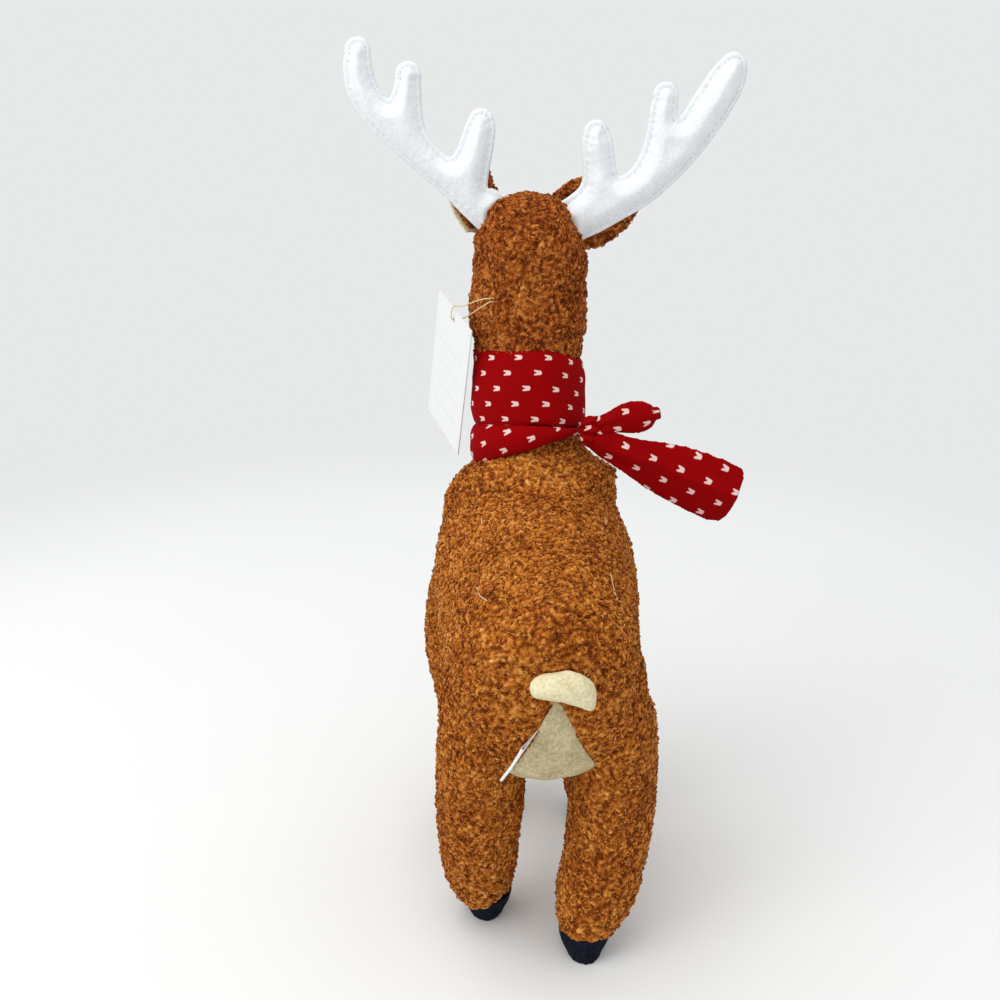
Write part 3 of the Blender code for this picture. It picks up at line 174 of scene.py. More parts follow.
# %% A value that does its own sums
class Value:
    """One number socket of a graph. Sums on it add Math nodes."""

    def __init__(self, graph, socket):
        self.graph = graph
        self.socket = socket

    def math(self, operation, *others, clamp=False):
        settings = {"operation": operation, "use_clamp": clamp}
        inputs = {index: other for index, other in enumerate((self, *others))}
        return self.graph.add("ShaderNodeMath", settings, inputs)

    def __add__(self, other):
        return self.math("ADD", other)

    def __mul__(self, other):
        return self.math("MULTIPLY", other)

    def __sub__(self, other):
        return self.math("SUBTRACT", other)

    def __rsub__(self, other):
        return self.graph.add("ShaderNodeMath", {"operation": "SUBTRACT"}, {0: other, 1: self})

    def __truediv__(self, other):
        return self.math("DIVIDE", other)

    def floor(self):
        return self.math("FLOOR")

    def fraction(self):
        return self.math("FRACT")

    def size(self):
        return self.math("ABSOLUTE")

    def root(self):
        return self.math("SQRT")

    def sine(self):
        return self.math("SINE")

    def held(self):
        """The same number, kept from 0 to 1."""
        return self.math("ADD", 0.0, clamp=True)

    def step(self, low, high):
        """0 below low, 1 above high, and a soft step between them."""
        inputs = {"Value": self, "From Min": low, "From Max": high}
        return self.graph.add("ShaderNodeMapRange", {"interpolation_type": "SMOOTHSTEP"}, inputs)


# %% Graphs and finishes
class Graph:
    """A tree of nodes, and one method that adds any node to it."""

    def __init__(self, tree):
        self.nodes = tree.nodes
        self.links = tree.links

    def add(self, kind, settings=None, inputs=None, output=0):
        node = self.nodes.new(kind)
        for name, value in (settings or {}).items():
            if name == "stops":
                ramp = node.color_ramp
                while len(ramp.elements) < len(value):
                    ramp.elements.new(0.5)
                for element, (place, colour) in zip(ramp.elements, value):
                    element.position = place
                    element.color = (*colour, 1.0)
            else:
                setattr(node, name, value)
        for socket, value in (inputs or {}).items():
            if isinstance(value, Value):
                self.links.new(value.socket, node.inputs[socket])
            else:
                node.inputs[socket].default_value = value
        return Value(self, node.outputs[output])


class Finish(Graph):
    """A material with one Principled shader."""

    def __init__(self, name, **shader_values):
        self.material = bpy.data.materials.new(name)
        self.material.use_nodes = True
        super().__init__(self.material.node_tree)
        self.shader = self.nodes["Principled BSDF"]
        for socket, value in shader_values.items():
            self.shader.inputs[socket.replace("_", " ")].default_value = value

    def feed(self, socket, value):
        self.links.new(value.socket, self.shader.inputs[socket])

    def attribute(self, name):
        return self.add("ShaderNodeAttribute", {"attribute_name": name}, output="Fac")

    def place(self):
        return self.add("ShaderNodeTexCoord", output="Object")

    def along(self, start, direction):
        """How far a point of the surface lies from start in one direction, in millimetres."""
        moved = self.add("ShaderNodeVectorMath", {"operation": "SUBTRACT"}, {0: self.place(), 1: start})
        scaled = tuple(value / MM for value in direction)
        dot = {0: moved, 1: scaled}
        return self.add("ShaderNodeVectorMath", {"operation": "DOT_PRODUCT"}, dot, output="Value")

    def noise(self, size, detail=2.0, roughness=0.5):
        """Cloudy numbers round 0.5, in patches of about the given size in metres."""
        inputs = {"Vector": self.place(), "Scale": 1.0 / size, "Detail": detail, "Roughness": roughness}
        return self.add("ShaderNodeTexNoise", {}, inputs)

    def ramp(self, share, stops):
        return self.add("ShaderNodeValToRGB", {"stops": stops}, {0: share})

    def mix(self, share, first, second, blend="MIX"):
        """Colours through a Mix node; plain colours are three numbers."""
        colours = {6: first, 7: second}
        for socket, colour in colours.items():
            if not isinstance(colour, Value):
                colours[socket] = (*colour, 1.0)
        settings = {"data_type": "RGBA", "blend_type": blend}
        return self.add("ShaderNodeMix", settings, {0: share, **colours}, output=2)

    def relief(self, height, depth, strength=1.0):
        """A bump from numbers of 0 to 1, as deep as depth in metres."""
        bump = self.add("ShaderNodeBump", {}, {"Height": height, "Distance": depth, "Strength": strength})
        self.feed("Normal", bump)


# %% [markdown]
# ## Finishes of cloth, felt and plastic
#
# The coat is a curly pile. A number on the mesh says how high each point stands in the pile, and a ramp
# turns it into colour, so the colour follows the shape: painted shade, dark and red, in the gaps between the
# loops, and painted highlights on the loop tops. The neck and head are painted darker and redder than the
# back, as painted shade. The felts are matt with short fibres. Their noise is fine and shallow, or they look
# like stone.

# %% The coat
# Ramp stops: painted shade in the pile's gaps, rising to painted highlights on its loop tips.
PILE_SHADE_AND_HIGHLIGHT_STOPS = (
    (0.00, (0.045, 0.004, 0.000)), (0.25, (0.200, 0.036, 0.002)), (0.50, (0.450, 0.128, 0.012)),
    (0.75, (0.680, 0.275, 0.048)), (1.00, (0.900, 0.520, 0.180)),
)
PAINTED_SHADE_FROM = (0.0, 0.0, 232.0 * MM)
coat = Finish("curly_coat", Roughness=0.70, Specular_IOR_Level=0.10)
yarn = coat.noise(1.5 * MM, 3.0, 0.65)
patches = coat.noise(24.0 * MM, 2.0)
# Pile height plus random yarn and patch tone: low values give painted shade, high values give painted
# highlights.
lift = (coat.attribute("pile") * 0.85 + (yarn - 0.5) * 1.35 + (patches - 0.5) * 0.40 + 0.03).held()
cast = coat.mix(patches, (0.36, 0.070, 0.008), (0.60, 0.25, 0.045))
# Painted shade: from 232 mm up, on the neck and head, the coat colour is multiplied darker and redder.
upper_painted_shade = coat.along(PAINTED_SHADE_FROM, (0.0, 0.0, 1.0)).step(-12.0, 14.0) * 0.85
coat_colour = coat.mix(0.12, coat.ramp(lift, PILE_SHADE_AND_HIGHLIGHT_STOPS), cast)
coat.feed("Base Color", coat.mix(upper_painted_shade, coat_colour, (0.79, 0.66, 0.70), "MULTIPLY"))
coat.relief(yarn, 0.8 * MM, 0.9)
print("coat nodes:", len(coat.nodes))


# %% The felts
def felt(name, colour, shaded, fibre=1.5 * MM, depth=0.45 * MM):
    """Pressed fibres: a soft mottle of two near colours, and a shallow bump."""
    made = Finish(name, Roughness=1.0, Specular_IOR_Level=0.08)
    fibres = made.noise(fibre, 4.0, 0.65)
    clouds = made.noise(9.0 * MM, 3.0)
    share = (fibres * 0.8 + clouds * 0.4).step(0.42, 0.78)
    made.feed("Base Color", made.mix(share, shaded, colour))
    made.relief(fibres, depth, 0.8)
    return made


antler_felt = felt("white_felt", (0.925, 0.945, 0.955), (0.80, 0.85, 0.89), fibre=1.2 * MM)
tail_felt = felt("cream_felt", (0.90, 0.82, 0.55), (0.68, 0.58, 0.34), depth=0.9 * MM)
belly_felt = felt("oatmeal_felt", (0.66, 0.56, 0.345), (0.40, 0.325, 0.180))
hoof_felt = felt("navy_felt", (0.012, 0.015, 0.028), (0.005, 0.006, 0.011))

# %% The plastic of the eyes, washers and nose
plastic = Finish("dark_plastic", Specular_IOR_Level=0.35, Coat_Weight=0.15, Coat_Roughness=0.08)
wear = plastic.noise(3.0 * MM, 4.0)
plastic.feed("Base Color", plastic.mix(wear, (0.006, 0.005, 0.005), (0.016, 0.012, 0.010)))
plastic.feed("Roughness", wear * 0.12 + 0.14)
for name in ("left_eye", "right_eye", "left_eye_washer", "right_eye_washer", "nose"):
    NODES[name].data.materials.clear()
    NODES[name].data.materials.append(plastic.material)
    NODES[name].data.shade_smooth()

# %% The thread and the loose ends of sewing cotton
cotton = Finish("cotton_thread", Roughness=0.8, Sheen_Weight=0.2)
cotton.feed("Base Color", cotton.mix(cotton.noise(0.8 * MM, 2.0), (0.60, 0.42, 0.18), (0.80, 0.64, 0.36)))
thread_curve.materials.append(cotton.material)

# %% [markdown]
# ## Numbers that repeat
#
# The pile and the wrinkles need noise on the mesh itself, because a bump can't change an outline. Each
# whole-number cell of space gets a number from mixed-up bits, so the result is the same on each run.

# %% Noise on points
def scatter(cells, seed):
    """A repeatable number from 0 to 1 for each whole-number cell."""
    cells = cells.astype(np.int64)
    mixed = cells[..., 0] * 73856093 ^ cells[..., 1] * 19349663 ^ cells[..., 2] * 83492791 ^ seed * 40503
    mixed = (mixed ^ (mixed >> 13)) * 1274126177 & 0x7FFFFFFF
    mixed = (mixed ^ (mixed >> 15)) * 668265263 & 0x7FFFFFFF
    return (mixed >> 7 & 0xFFFF) / 65535.0


def soft_noise(points, size, seed):
    """Smooth numbers from 0 to 1, in blobs of the given size."""
    scaled = points / size
    cells = np.floor(scaled)
    share = scaled - cells
    share = share * share * (3.0 - 2.0 * share)
    total = np.zeros(len(points))
    for corner in np.ndindex(2, 2, 2):
        corner = np.array(corner)
        weight = np.prod(np.where(corner == 1, share, 1.0 - share), axis=1)
        total += weight * scatter(cells + corner, seed)
    return total


def nearest_spot(points, size, seed):
    """How far each point is from the nearest of the spots strewn one to a cell, in cell sizes."""
    scaled = points / size
    cells = np.floor(scaled)
    nearest = np.full(len(points), 9.0)
    for step in np.ndindex(3, 3, 3):
        cell = cells + np.array(step) - 1.0
        spots = np.stack([cell[:, axis] + scatter(cell, seed + 7 * axis + 1) for axis in range(3)], axis=1)
        nearest = np.minimum(nearest, np.linalg.norm(scaled - spots, axis=1))
    return nearest


# %% [markdown]
# ## From measured forms to fine meshes
#
# The measured forms have few faces. A voxel remesh wraps them in an even grid with no seams, smoothing
# takes its steps away, and one subdivision gives points close enough to carve loops and wrinkles with.

# %% Helpers that read and write a mesh
def read(items, field, width=3, kind=np.float32):
    """One row of numbers for each item of a mesh."""
    flat = np.empty(len(items) * width, kind)
    items.foreach_get(field, flat)
    return flat.reshape(-1, width)


def corners_of(mesh):
    return read(mesh.vertices, "co").astype(float)


def normals_of(mesh):
    return read(mesh.vertex_normals, "vector").astype(float)


def edges_of(mesh):
    return read(mesh.edges, "vertices", 2, np.int32)


def move_corners(mesh, points):
    mesh.vertices.foreach_set("co", points.astype(np.float32).ravel())
    mesh.update()


def note(mesh, name, values):
    """Keeps one number for each corner, for the finishes to read."""
    kept = mesh.attributes.get(name) or mesh.attributes.new(name, "FLOAT", "POINT")
    kept.data.foreach_set("value", np.asarray(values, np.float32))


def unit(rows):
    """The same directions, each of length 1."""
    return rows / np.linalg.norm(rows, axis=-1)[..., None]


def mesh_of(name, points, faces):
    mesh = bpy.data.meshes.new(name)
    mesh.from_pydata(np.asarray(points).tolist(), [], np.asarray(faces).tolist())
    mesh.update()
    return mesh


# %% Remesh, smooth and subdivide
def with_modifier(mesh, kind, **settings):
    """A new mesh: the old one after one modifier."""
    item = bpy.data.objects.new("scratch", mesh)
    bpy.context.scene.collection.objects.link(item)
    modifier = item.modifiers.new("step", kind)
    for name, value in settings.items():
        setattr(modifier, name, value)
    seen = item.evaluated_get(bpy.context.evaluated_depsgraph_get())
    made = bpy.data.meshes.new_from_object(seen)
    bpy.data.objects.remove(item)
    return made


PULL = 0.5
PUSH = -0.52


def smoothed(points, edges, rounds):
    """Evens out steps without shrinking the form: each round pulls in, then pushes back out."""
    count = len(points)
    beside = np.bincount(edges.ravel(), minlength=count)[:, None]
    for turn in range(rounds * 2):
        total = np.zeros_like(points)
        for axis in range(3):
            total[:, axis] = np.bincount(edges[:, 0], points[edges[:, 1], axis], count)
            total[:, axis] += np.bincount(edges[:, 1], points[edges[:, 0], axis], count)
        share = PULL if turn % 2 == 0 else PUSH
        points = points + (total / beside - points) * share
    return points


def largest_island(mesh):
    """Removes every loose shell but the biggest."""
    builder = bmesh.new()
    builder.from_mesh(mesh)
    unseen = set(builder.verts)
    islands = []
    while unseen:
        start = unseen.pop()
        island = [start]
        for vertex in island:
            for edge in vertex.link_edges:
                other = edge.other_vert(vertex)
                if other in unseen:
                    unseen.remove(other)
                    island.append(other)
        islands.append(island)
    islands.sort(key=len, reverse=True)
    extra = [vertex for island in islands[1:] for vertex in island]
    bmesh.ops.delete(builder, geom=extra, context="VERTS")
    builder.to_mesh(mesh)
    builder.free()
    return mesh


def fine_form(name, nodes, voxel, rounds, subdivide=True, floor_cut=None):
    """One even, smooth mesh round the named parts; floor_cut gives those that stop at a height."""
    builder = bmesh.new()
    for node in nodes:
        part = bmesh.new()
        part.from_mesh(NODES[node].data)
        if floor_cut and node in floor_cut[0]:
            bmesh.ops.remove_doubles(part, verts=part.verts[:], dist=0.01 * MM)
            everything = part.verts[:] + part.edges[:] + part.faces[:]
            low = (0, 0, floor_cut[1])
            bmesh.ops.bisect_plane(part, geom=everything, plane_co=low, plane_no=(0, 0, 1), clear_inner=True)
            bmesh.ops.holes_fill(part, edges=[edge for edge in part.edges if edge.is_boundary])
        loose = bpy.data.meshes.new("loose")
        part.to_mesh(loose)
        part.free()
        builder.from_mesh(loose)
        bpy.data.meshes.remove(loose)
    mesh = bpy.data.meshes.new(name)
    builder.to_mesh(mesh)
    builder.free()
    mesh = with_modifier(mesh, "REMESH", mode="VOXEL", voxel_size=voxel)
    mesh = largest_island(mesh)
    move_corners(mesh, smoothed(corners_of(mesh), edges_of(mesh), rounds))
    if subdivide:
        mesh = with_modifier(mesh, "SUBSURF", levels=1, render_levels=1)
    mesh.name = name
    return mesh


def show(name, mesh, finish, body, nodes=()):
    """Puts a mesh in the scene with its finish, on the body that it moves with."""
    mesh.name = name
    mesh.materials.clear()
    mesh.materials.append(finish.material)
    mesh.shade_smooth()
    item = bpy.data.objects.new(name, mesh)
    bpy.context.scene.collection.objects.link(item)
    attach(item, body)
    if nodes:
        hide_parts(*nodes)
    print(name, len(mesh.vertices), "corners", len(mesh.polygons), "faces")
    return item


def tree_of(mesh):
    """Something to measure distances to a mesh with."""
    points = [vertex.co.copy() for vertex in mesh.vertices]
    return BVHTree.FromPolygons(points, [tuple(face.vertices) for face in mesh.polygons])


# %% [markdown]
# ## The coat
#
# The real coat is a looped pile sewn from several panels over the stuffing. Particles of hair would look
# like fur, and a bump alone would leave a smooth outline. So the surface itself is carved into rounded
# nubs, and thousands of small loops of yarn stand on it. The panels meet in hidden seams, so one mesh
# stands for the panels of the body, neck, head and legs.

# %% Wrap the body
SIDES = ("left", "right")
LEGS = [f"{side}_{end}_leg" for end in ("front", "hind") for side in SIDES]
COAT_SKINS = ["left_body_side", "right_body_side", "neck_skin", "head_skin"]
COAT_SKINS += [leg + "_skin" for leg in LEGS]
LEG_FILLINGS = [leg + "_filling" for leg in LEGS]
COAT_FILLINGS = ["torso_filling", "neck_filling", "head_filling"] + LEG_FILLINGS
COAT_VOXEL = 1.85 * MM
HOOF_TOP = 13.6 * MM
COAT_SMOOTHING = 9
coat_parts = COAT_SKINS + COAT_FILLINGS
coat_mesh = fine_form("coat", coat_parts, COAT_VOXEL, COAT_SMOOTHING, floor_cut=(LEG_FILLINGS, HOOF_TOP))
print("coat form:", len(coat_mesh.vertices), "corners")


# %% Fit the form before the pile goes on
def eased(values, low, high):
    """0 below low, 1 above high, and a soft step between them."""
    share = np.clip((values - low) / (high - low), 0.0, 1.0)
    return share * share * (3.0 - 2.0 * share)


def rising(values, low, high):
    """The same, with its limits in millimetres."""
    return eased(values, low * MM, high * MM)


def around(values, middle, inner, outer):
    """1 as near as inner to the middle, 0 beyond outer, in millimetres."""
    return 1.0 - rising(np.abs(values - middle * MM), inner, outer)


NECK_PLACE = np.array((9.0, -20.5, 175.0)) * MM
NECK_UP = np.array((0.0, -0.24192, 0.97030))
NECK_SIDE = np.array((1.0, 0.0, 0.0))
NECK_BACK = np.cross(NECK_UP, NECK_SIDE)
HEAD_MIDDLE = 8.5 * MM
CROWN_SPREAD = 0.36
NECK_FUR_RADIUS = 26.6 * MM
form = corners_of(coat_mesh)
x, y, z = form.T

# The head is broad at its crown, and flatter at its left cheek.
x[:] = HEAD_MIDDLE + (x - HEAD_MIDDLE) * (1.0 + CROWN_SPREAD * rising(z, 319.0, 331.0))
cheek = around(z, 298.0, 4.0, 16.0) * rising(x, 18.0, 34.0)
x -= 2.2 * MM * cheek * (y > -75.0 * MM)

# The fur stands out above the scarf.
off = form - NECK_PLACE
height = off @ NECK_UP
radial = off - height[:, None] * NECK_UP
radius = np.linalg.norm(radial, axis=1)
above_scarf = rising(height, 76.0, 84.0) * (1.0 - rising(height, 96.0, 110.0))
grow = above_scarf * np.maximum(0.0, NECK_FUR_RADIUS - radius)
form += radial / np.maximum(radius, MM)[:, None] * grow[:, None]

# The right shoulder is fuller and the right haunch is leaner.
shoulder = around(z, 207.0, 3.0, 15.0) * rising(-x, 4.0, 17.0)
x -= 5.5 * MM * shoulder * around(y, -8.0, 12.0, 34.0)
haunch = around(z, 143.0, 8.0, 26.0) * rising(y, 15.0, 45.0)
x += 3.2 * MM * haunch * rising(-x, 18.0, 42.0)

# The hind legs stand a little further apart.
left_inner = rising(33.0 * MM - x, 0.0, 12.0) * (x > 8.0 * MM) * (y > 25.0 * MM)
x += 3.6 * MM * left_inner * (1.0 - rising(z, 42.0, 88.0))
right_inner = rising(x + 12.0 * MM, 0.0, 12.0) * (x < 8.0 * MM) * (y > 50.0 * MM)
low_leg = rising(z, 28.0, 50.0) * (1.0 - rising(z, 84.0, 102.0))
x -= 2.2 * MM * right_inner * low_leg
move_corners(coat_mesh, form)


# %% Carve the pile
NUB_SIZE = 2.25 * MM
RIDGE_SIZE = 1.7 * MM
DRIFT_SIZE = 4.6 * MM
DRIFT = 3.4 * MM
PILE_DEPTH = 1.7 * MM
PILE_SINK = 1.25 * MM


def pile_of(points, seed):
    """How high the pile stands at each point, from 0 in a gap to 1 on a loop."""
    drift = np.stack([soft_noise(points, DRIFT_SIZE, seed + axis) - 0.5 for axis in range(3)], axis=1)
    bent = points + drift * DRIFT
    nubs = 1.0 - np.clip(nearest_spot(bent, NUB_SIZE, seed) / 0.80, 0.0, 1.0) ** 1.5
    ridges = soft_noise(bent, RIDGE_SIZE, seed + 5)
    return np.clip(nubs * 0.72 + ridges * 0.46 - 0.10, 0.0, 1.0)


def carve_pile(mesh, seed, grown=1.0, depth=PILE_DEPTH, sink=PILE_SINK):
    """Raises the loops of the pile along the surface; grown is a share of 0 where there is none."""
    pile = pile_of(corners_of(mesh), seed)
    shift = (pile * depth - sink) * grown
    move_corners(mesh, corners_of(mesh) + normals_of(mesh) * shift[:, None])
    note(mesh, "pile", pile)


# %% Keep the pile off the felt, and tuck it in at the hooves
BELLY_NEAR = 2.0 * MM
belly_tree = tree_of(NODES["belly_gusset"].data)
belly_low, belly_high = (np.array(corner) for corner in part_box("belly_gusset"))


def by_the_belly(points):
    """The numbers of the points in the felt panel's box, which is grown a little."""
    found = (points > belly_low - BELLY_NEAR) & (points < belly_high + BELLY_NEAR)
    return np.nonzero(np.all(found, axis=1))[0]


start_points = corners_of(coat_mesh)
bare = np.zeros(len(start_points))
for index in by_the_belly(start_points):
    gap = belly_tree.find_nearest(Vector(start_points[index]), BELLY_NEAR)[3]
    if gap is not None:
        bare[index] = 1.0 - gap / BELLY_NEAR
bare = np.clip(bare * 1.8, 0.0, 1.0)
print("bare corners by the belly:", int((bare > 0).sum()))
carve_pile(coat_mesh, 11, 1.0 - bare)

TUCK = 0.05
HANG = 1.0 * MM
LEFT_HIND_HANG = 3.6 * MM
coat_points = corners_of(coat_mesh)
for leg in LEGS:
    low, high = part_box(leg.replace("_leg", "_hoof"))
    off = coat_points - (np.array(low) + np.array(high)) / 2.0
    here = (np.hypot(off[:, 0], off[:, 1]) < 24.0 * MM) & (coat_points[:, 2] < 19.0 * MM)
    tuck = np.clip((17.5 * MM - coat_points[:, 2]) / (5.5 * MM), 0.0, 1.0) ** 2 * TUCK * here
    coat_points[:, :2] -= off[:, :2] * tuck[:, None]
    hang = HANG
    if leg == "left_hind_leg":
        hang = LEFT_HIND_HANG * rising(off[:, 0], -6.0, 6.0)
    coat_points[:, 2] -= hang * rising(24.0 * MM - coat_points[:, 2], 0.0, 10.0) * here
move_corners(coat_mesh, coat_points)


# %% [markdown]
# ## Loops of yarn
#
# Each loop is a short arc that starts in the coat, rises, leans over and goes back in. They are made
# together as arrays: a middle line of a few points, and a ring of three corners round each of them.

# %% Loops on a surface
LOOP_GAP = 2.0 * MM
LOOP_RINGS = 5
LOOP_SIDES = 3
LOOP_REACH = (0.65 * MM, 1.20 * MM)
LOOP_ROOT = 0.30 * MM
LOOP_YARN = 0.38 * MM


def tubes(lines, hint, thick, sides):
    """Corners and faces of a tube along each line of points; hint is a direction that no line takes."""
    ahead = unit(np.gradient(lines, axis=1))
    first = unit(np.cross(ahead, hint))
    second = np.cross(ahead, first)
    angle = np.linspace(0.0, 2.0 * math.pi, sides, endpoint=False)[:, None]
    ring = first[:, :, None] * np.cos(angle) + second[:, :, None] * np.sin(angle)
    corners = lines[:, :, None] + ring * thick
    numbers = np.arange(corners.size // 3).reshape(corners.shape[:3])
    beside = np.roll(numbers, -1, axis=2)
    faces = np.stack([numbers[:, :-1], beside[:, :-1], beside[:, 1:], numbers[:, 1:]], axis=-1)
    return corners.reshape(-1, 3), faces.reshape(-1, 4)


def loops_on(name, mesh, seed, keep=None):
    """A mesh of yarn loops strewn over a mesh. keep says which spots may have one."""
    rng = np.random.default_rng(seed)
    mesh.calc_loop_triangles()
    threes = read(mesh.loop_triangles, "vertices", 3, np.int32)
    points = corners_of(mesh)
    normals = normals_of(mesh)
    a, b, c = (points[threes[:, index]] for index in range(3))
    areas = np.linalg.norm(np.cross(b - a, c - a), axis=1) / 2.0
    count = int(areas.sum() / LOOP_GAP ** 2)
    chosen = rng.choice(len(threes), count, p=areas / areas.sum())
    shares = rng.dirichlet((1.0, 1.0, 1.0), count)
    spots = np.einsum("ij,ijk->ik", shares, points[threes[chosen]])
    up = np.einsum("ij,ijk->ik", shares, normals[threes[chosen]])
    if keep is not None:
        kept = keep(spots)
        spots, up = spots[kept], up[kept]
    count = len(spots)
    up = unit(up)
    side = unit(np.cross(up, rng.normal(size=(count, 3))))
    lean = np.cross(up, side)
    radius = rng.uniform(*LOOP_REACH, count)
    height = radius * rng.uniform(0.55, 0.95, count)
    sway = radius * rng.uniform(-0.9, 0.9, count)
    turn = np.linspace(-0.12, 1.12, LOOP_RINGS)[None, :] * math.pi
    forward = -np.cos(turn) * radius[:, None]
    rise = np.sin(turn) * height[:, None] - LOOP_ROOT
    drift = np.sin(turn) ** 2 * sway[:, None] + np.cos(turn) * 0.25 * sway[:, None]
    line = spots[:, None] + side[:, None] * forward[..., None] + up[:, None] * rise[..., None]
    line = line + lean[:, None] * drift[..., None]
    thick = LOOP_YARN * rng.uniform(0.75, 1.2, (count, 1, 1, 1))
    made = mesh_of(name, *tubes(line, lean[:, None] + 0.001, thick, LOOP_SIDES))
    # Painted highlight: the top of each loop gets a paler value, scaled at random per loop.
    lit_top_highlight = 0.30 + 0.75 * np.sin(np.clip(turn, 0, math.pi))
    loop_tone_and_highlight = rng.uniform(0.25, 1.0, (count, 1)) ** 1.2 * lit_top_highlight
    note(made, "pile", np.repeat(loop_tone_and_highlight.ravel(), LOOP_SIDES))
    return made


# %% Put the coat in the scene
def off_the_belly(spots):
    """Loops stay clear of the felt panel and of the hooves."""
    kept = spots[:, 2] > 15.0 * MM
    for index in by_the_belly(spots):
        if belly_tree.find_nearest(Vector(spots[index]), 0.7 * MM)[0] is not None:
            kept[index] = False
    return kept


coat_item = show("coat", coat_mesh, coat, "toy", coat_parts)
show("coat_loops", loops_on("coat_loops", coat_mesh, 5, off_the_belly), coat, "toy")

# %% [markdown]
# ## The ears
#
# Each ear is a leaf of the same pile with a felt lining. It is carved and looped in the same way, only
# finer, and it rides on its own flap because the real one flops.

# %% Ears and their linings
for side in SIDES:
    ear = fine_form(side + "_ear_plush", [side + "_ear"], 1.1 * MM, 3)
    lining = fine_form(side + "_ear_felt", [side + "_ear_lining"], 0.6 * MM, 3, subdivide=False)
    for leaf, grow in ((ear, -0.20), (lining, 0.09)):
        points = corners_of(leaf)
        if side == "right":
            points[:, 0] -= np.maximum(0.0, -8.0 * MM - points[:, 0]) * 0.10
        else:
            off = points - points.mean(axis=0)
            low_side = rising(-off[:, 2] + off[:, 0] * 0.4, 0.0, 14.0)
            points += off * (grow * low_side)[:, None]
        move_corners(leaf, points)
    carve_pile(ear, 31, depth=1.2 * MM, sink=0.5 * MM)
    flap = side + "_ear_flap"
    ear_item = show(side + "_ear_plush", ear, coat, flap, [side + "_ear"])
    show(side + "_ear_loops", loops_on(side + "_ear_loops", ear, 9), coat, flap)
    show(side + "_ear_felt", lining, tail_felt, flap, [side + "_ear_lining"])

# %% [markdown]
# ## The antlers
#
# Two layers of white felt are laid together, stitched a little inside their edge and stuffed. That leaves a
# flat rim, a row of small puckers along the stitches and a round middle. The outline is a closed curve, the
# inside is filled with an even grid, and each point's distance from the edge says how high it stands.

# %% Outlines of the antlers, outward and upward as shares of their reach and height
ANTLER_REACH = 75.0 * MM
ANTLER_HEIGHT = 88.0 * MM
LEFT_ANTLER = (
    (-0.090, -0.020), (-0.010, -0.140), (0.060, -0.098), (0.207, 0.020), (0.350, 0.140),
    (0.530, 0.270), (0.660, 0.372), (0.800, 0.487), (0.893, 0.610), (0.922, 0.716),
    (0.913, 0.835), (0.830, 0.917), (0.765, 0.865), (0.725, 0.700), (0.650, 0.617),
    (0.590, 0.745), (0.523, 0.798), (0.455, 0.715), (0.442, 0.520), (0.395, 0.410),
    (0.290, 0.320), (0.232, 0.365), (0.155, 0.520), (0.065, 0.562), (-0.010, 0.468),
    (0.040, 0.180), (0.000, 0.150), (-0.150, 0.080),
)
RIGHT_ANTLER = (
    (-0.070, -0.010), (0.030, -0.095), (0.200, -0.050), (0.383, 0.033), (0.563, 0.124),
    (0.748, 0.267), (0.885, 0.402), (1.005, 0.552), (1.100, 0.702), (1.118, 0.832),
    (1.048, 0.888), (0.930, 0.835), (0.808, 0.688), (0.705, 0.560), (0.695, 0.690),
    (0.612, 0.742), (0.535, 0.640), (0.505, 0.465), (0.450, 0.330), (0.350, 0.262),
    (0.318, 0.335), (0.290, 0.470), (0.190, 0.550), (0.105, 0.462), (0.110, 0.240),
    (0.020, 0.150), (-0.120, 0.080),
)
LEFT_TIPS = ((0.830, 0.917), (0.523, 0.798), (0.065, 0.562))
RIGHT_TIPS = ((1.048, 0.888), (0.612, 0.742), (0.190, 0.550))
ANTLERS = (
    ("left", 1.0, LEFT_ANTLER, (25.5 * MM, -48.0 * MM, 320.5 * MM), LEFT_TIPS),
    ("right", -1.0, RIGHT_ANTLER, (-8.2 * MM, -48.0 * MM, 316.5 * MM), RIGHT_TIPS),
)


# %% Distances inside an outline
def even_loop(loop, gap):
    """The same closed line with its points an even gap apart."""
    closed = np.vstack([loop, loop[:1]])
    lengths = np.linalg.norm(np.diff(closed, axis=0), axis=1)
    total = np.concatenate([[0.0], np.cumsum(lengths)])
    places = np.linspace(0.0, total[-1], int(total[-1] / gap), endpoint=False)
    return np.stack([np.interp(places, total, closed[:, axis]) for axis in range(2)], axis=1)


def edge_of(points, loop):
    """For each point: the distance to the outline, and how far along the outline that is."""
    span = np.roll(loop, -1, axis=0) - loop
    lengths = np.linalg.norm(span, axis=1)
    before = np.concatenate([[0.0], np.cumsum(lengths)[:-1]])
    best = np.full(len(points), 9.0)
    along = np.zeros(len(points))
    for index in range(len(loop)):
        off = points - loop[index]
        share = np.clip((off @ span[index]) / lengths[index] ** 2, 0.0, 1.0)
        gap = np.linalg.norm(off - share[:, None] * span[index], axis=1)
        closer = gap < best
        best[closer] = gap[closer]
        along[closer] = (before[index] + share * lengths[index])[closer]
    return best, along


def inside(points, loop):
    """Which points lie inside a closed line."""
    found = np.zeros(len(points), bool)
    for (ax, ay), (bx, by) in zip(loop, np.roll(loop, -1, axis=0)):
        if ay == by:
            continue
        crosses = (ay > points[:, 1]) != (by > points[:, 1])
        found ^= crosses & (points[:, 0] < (bx - ax) * (points[:, 1] - ay) / (by - ay) + ax)
    return found


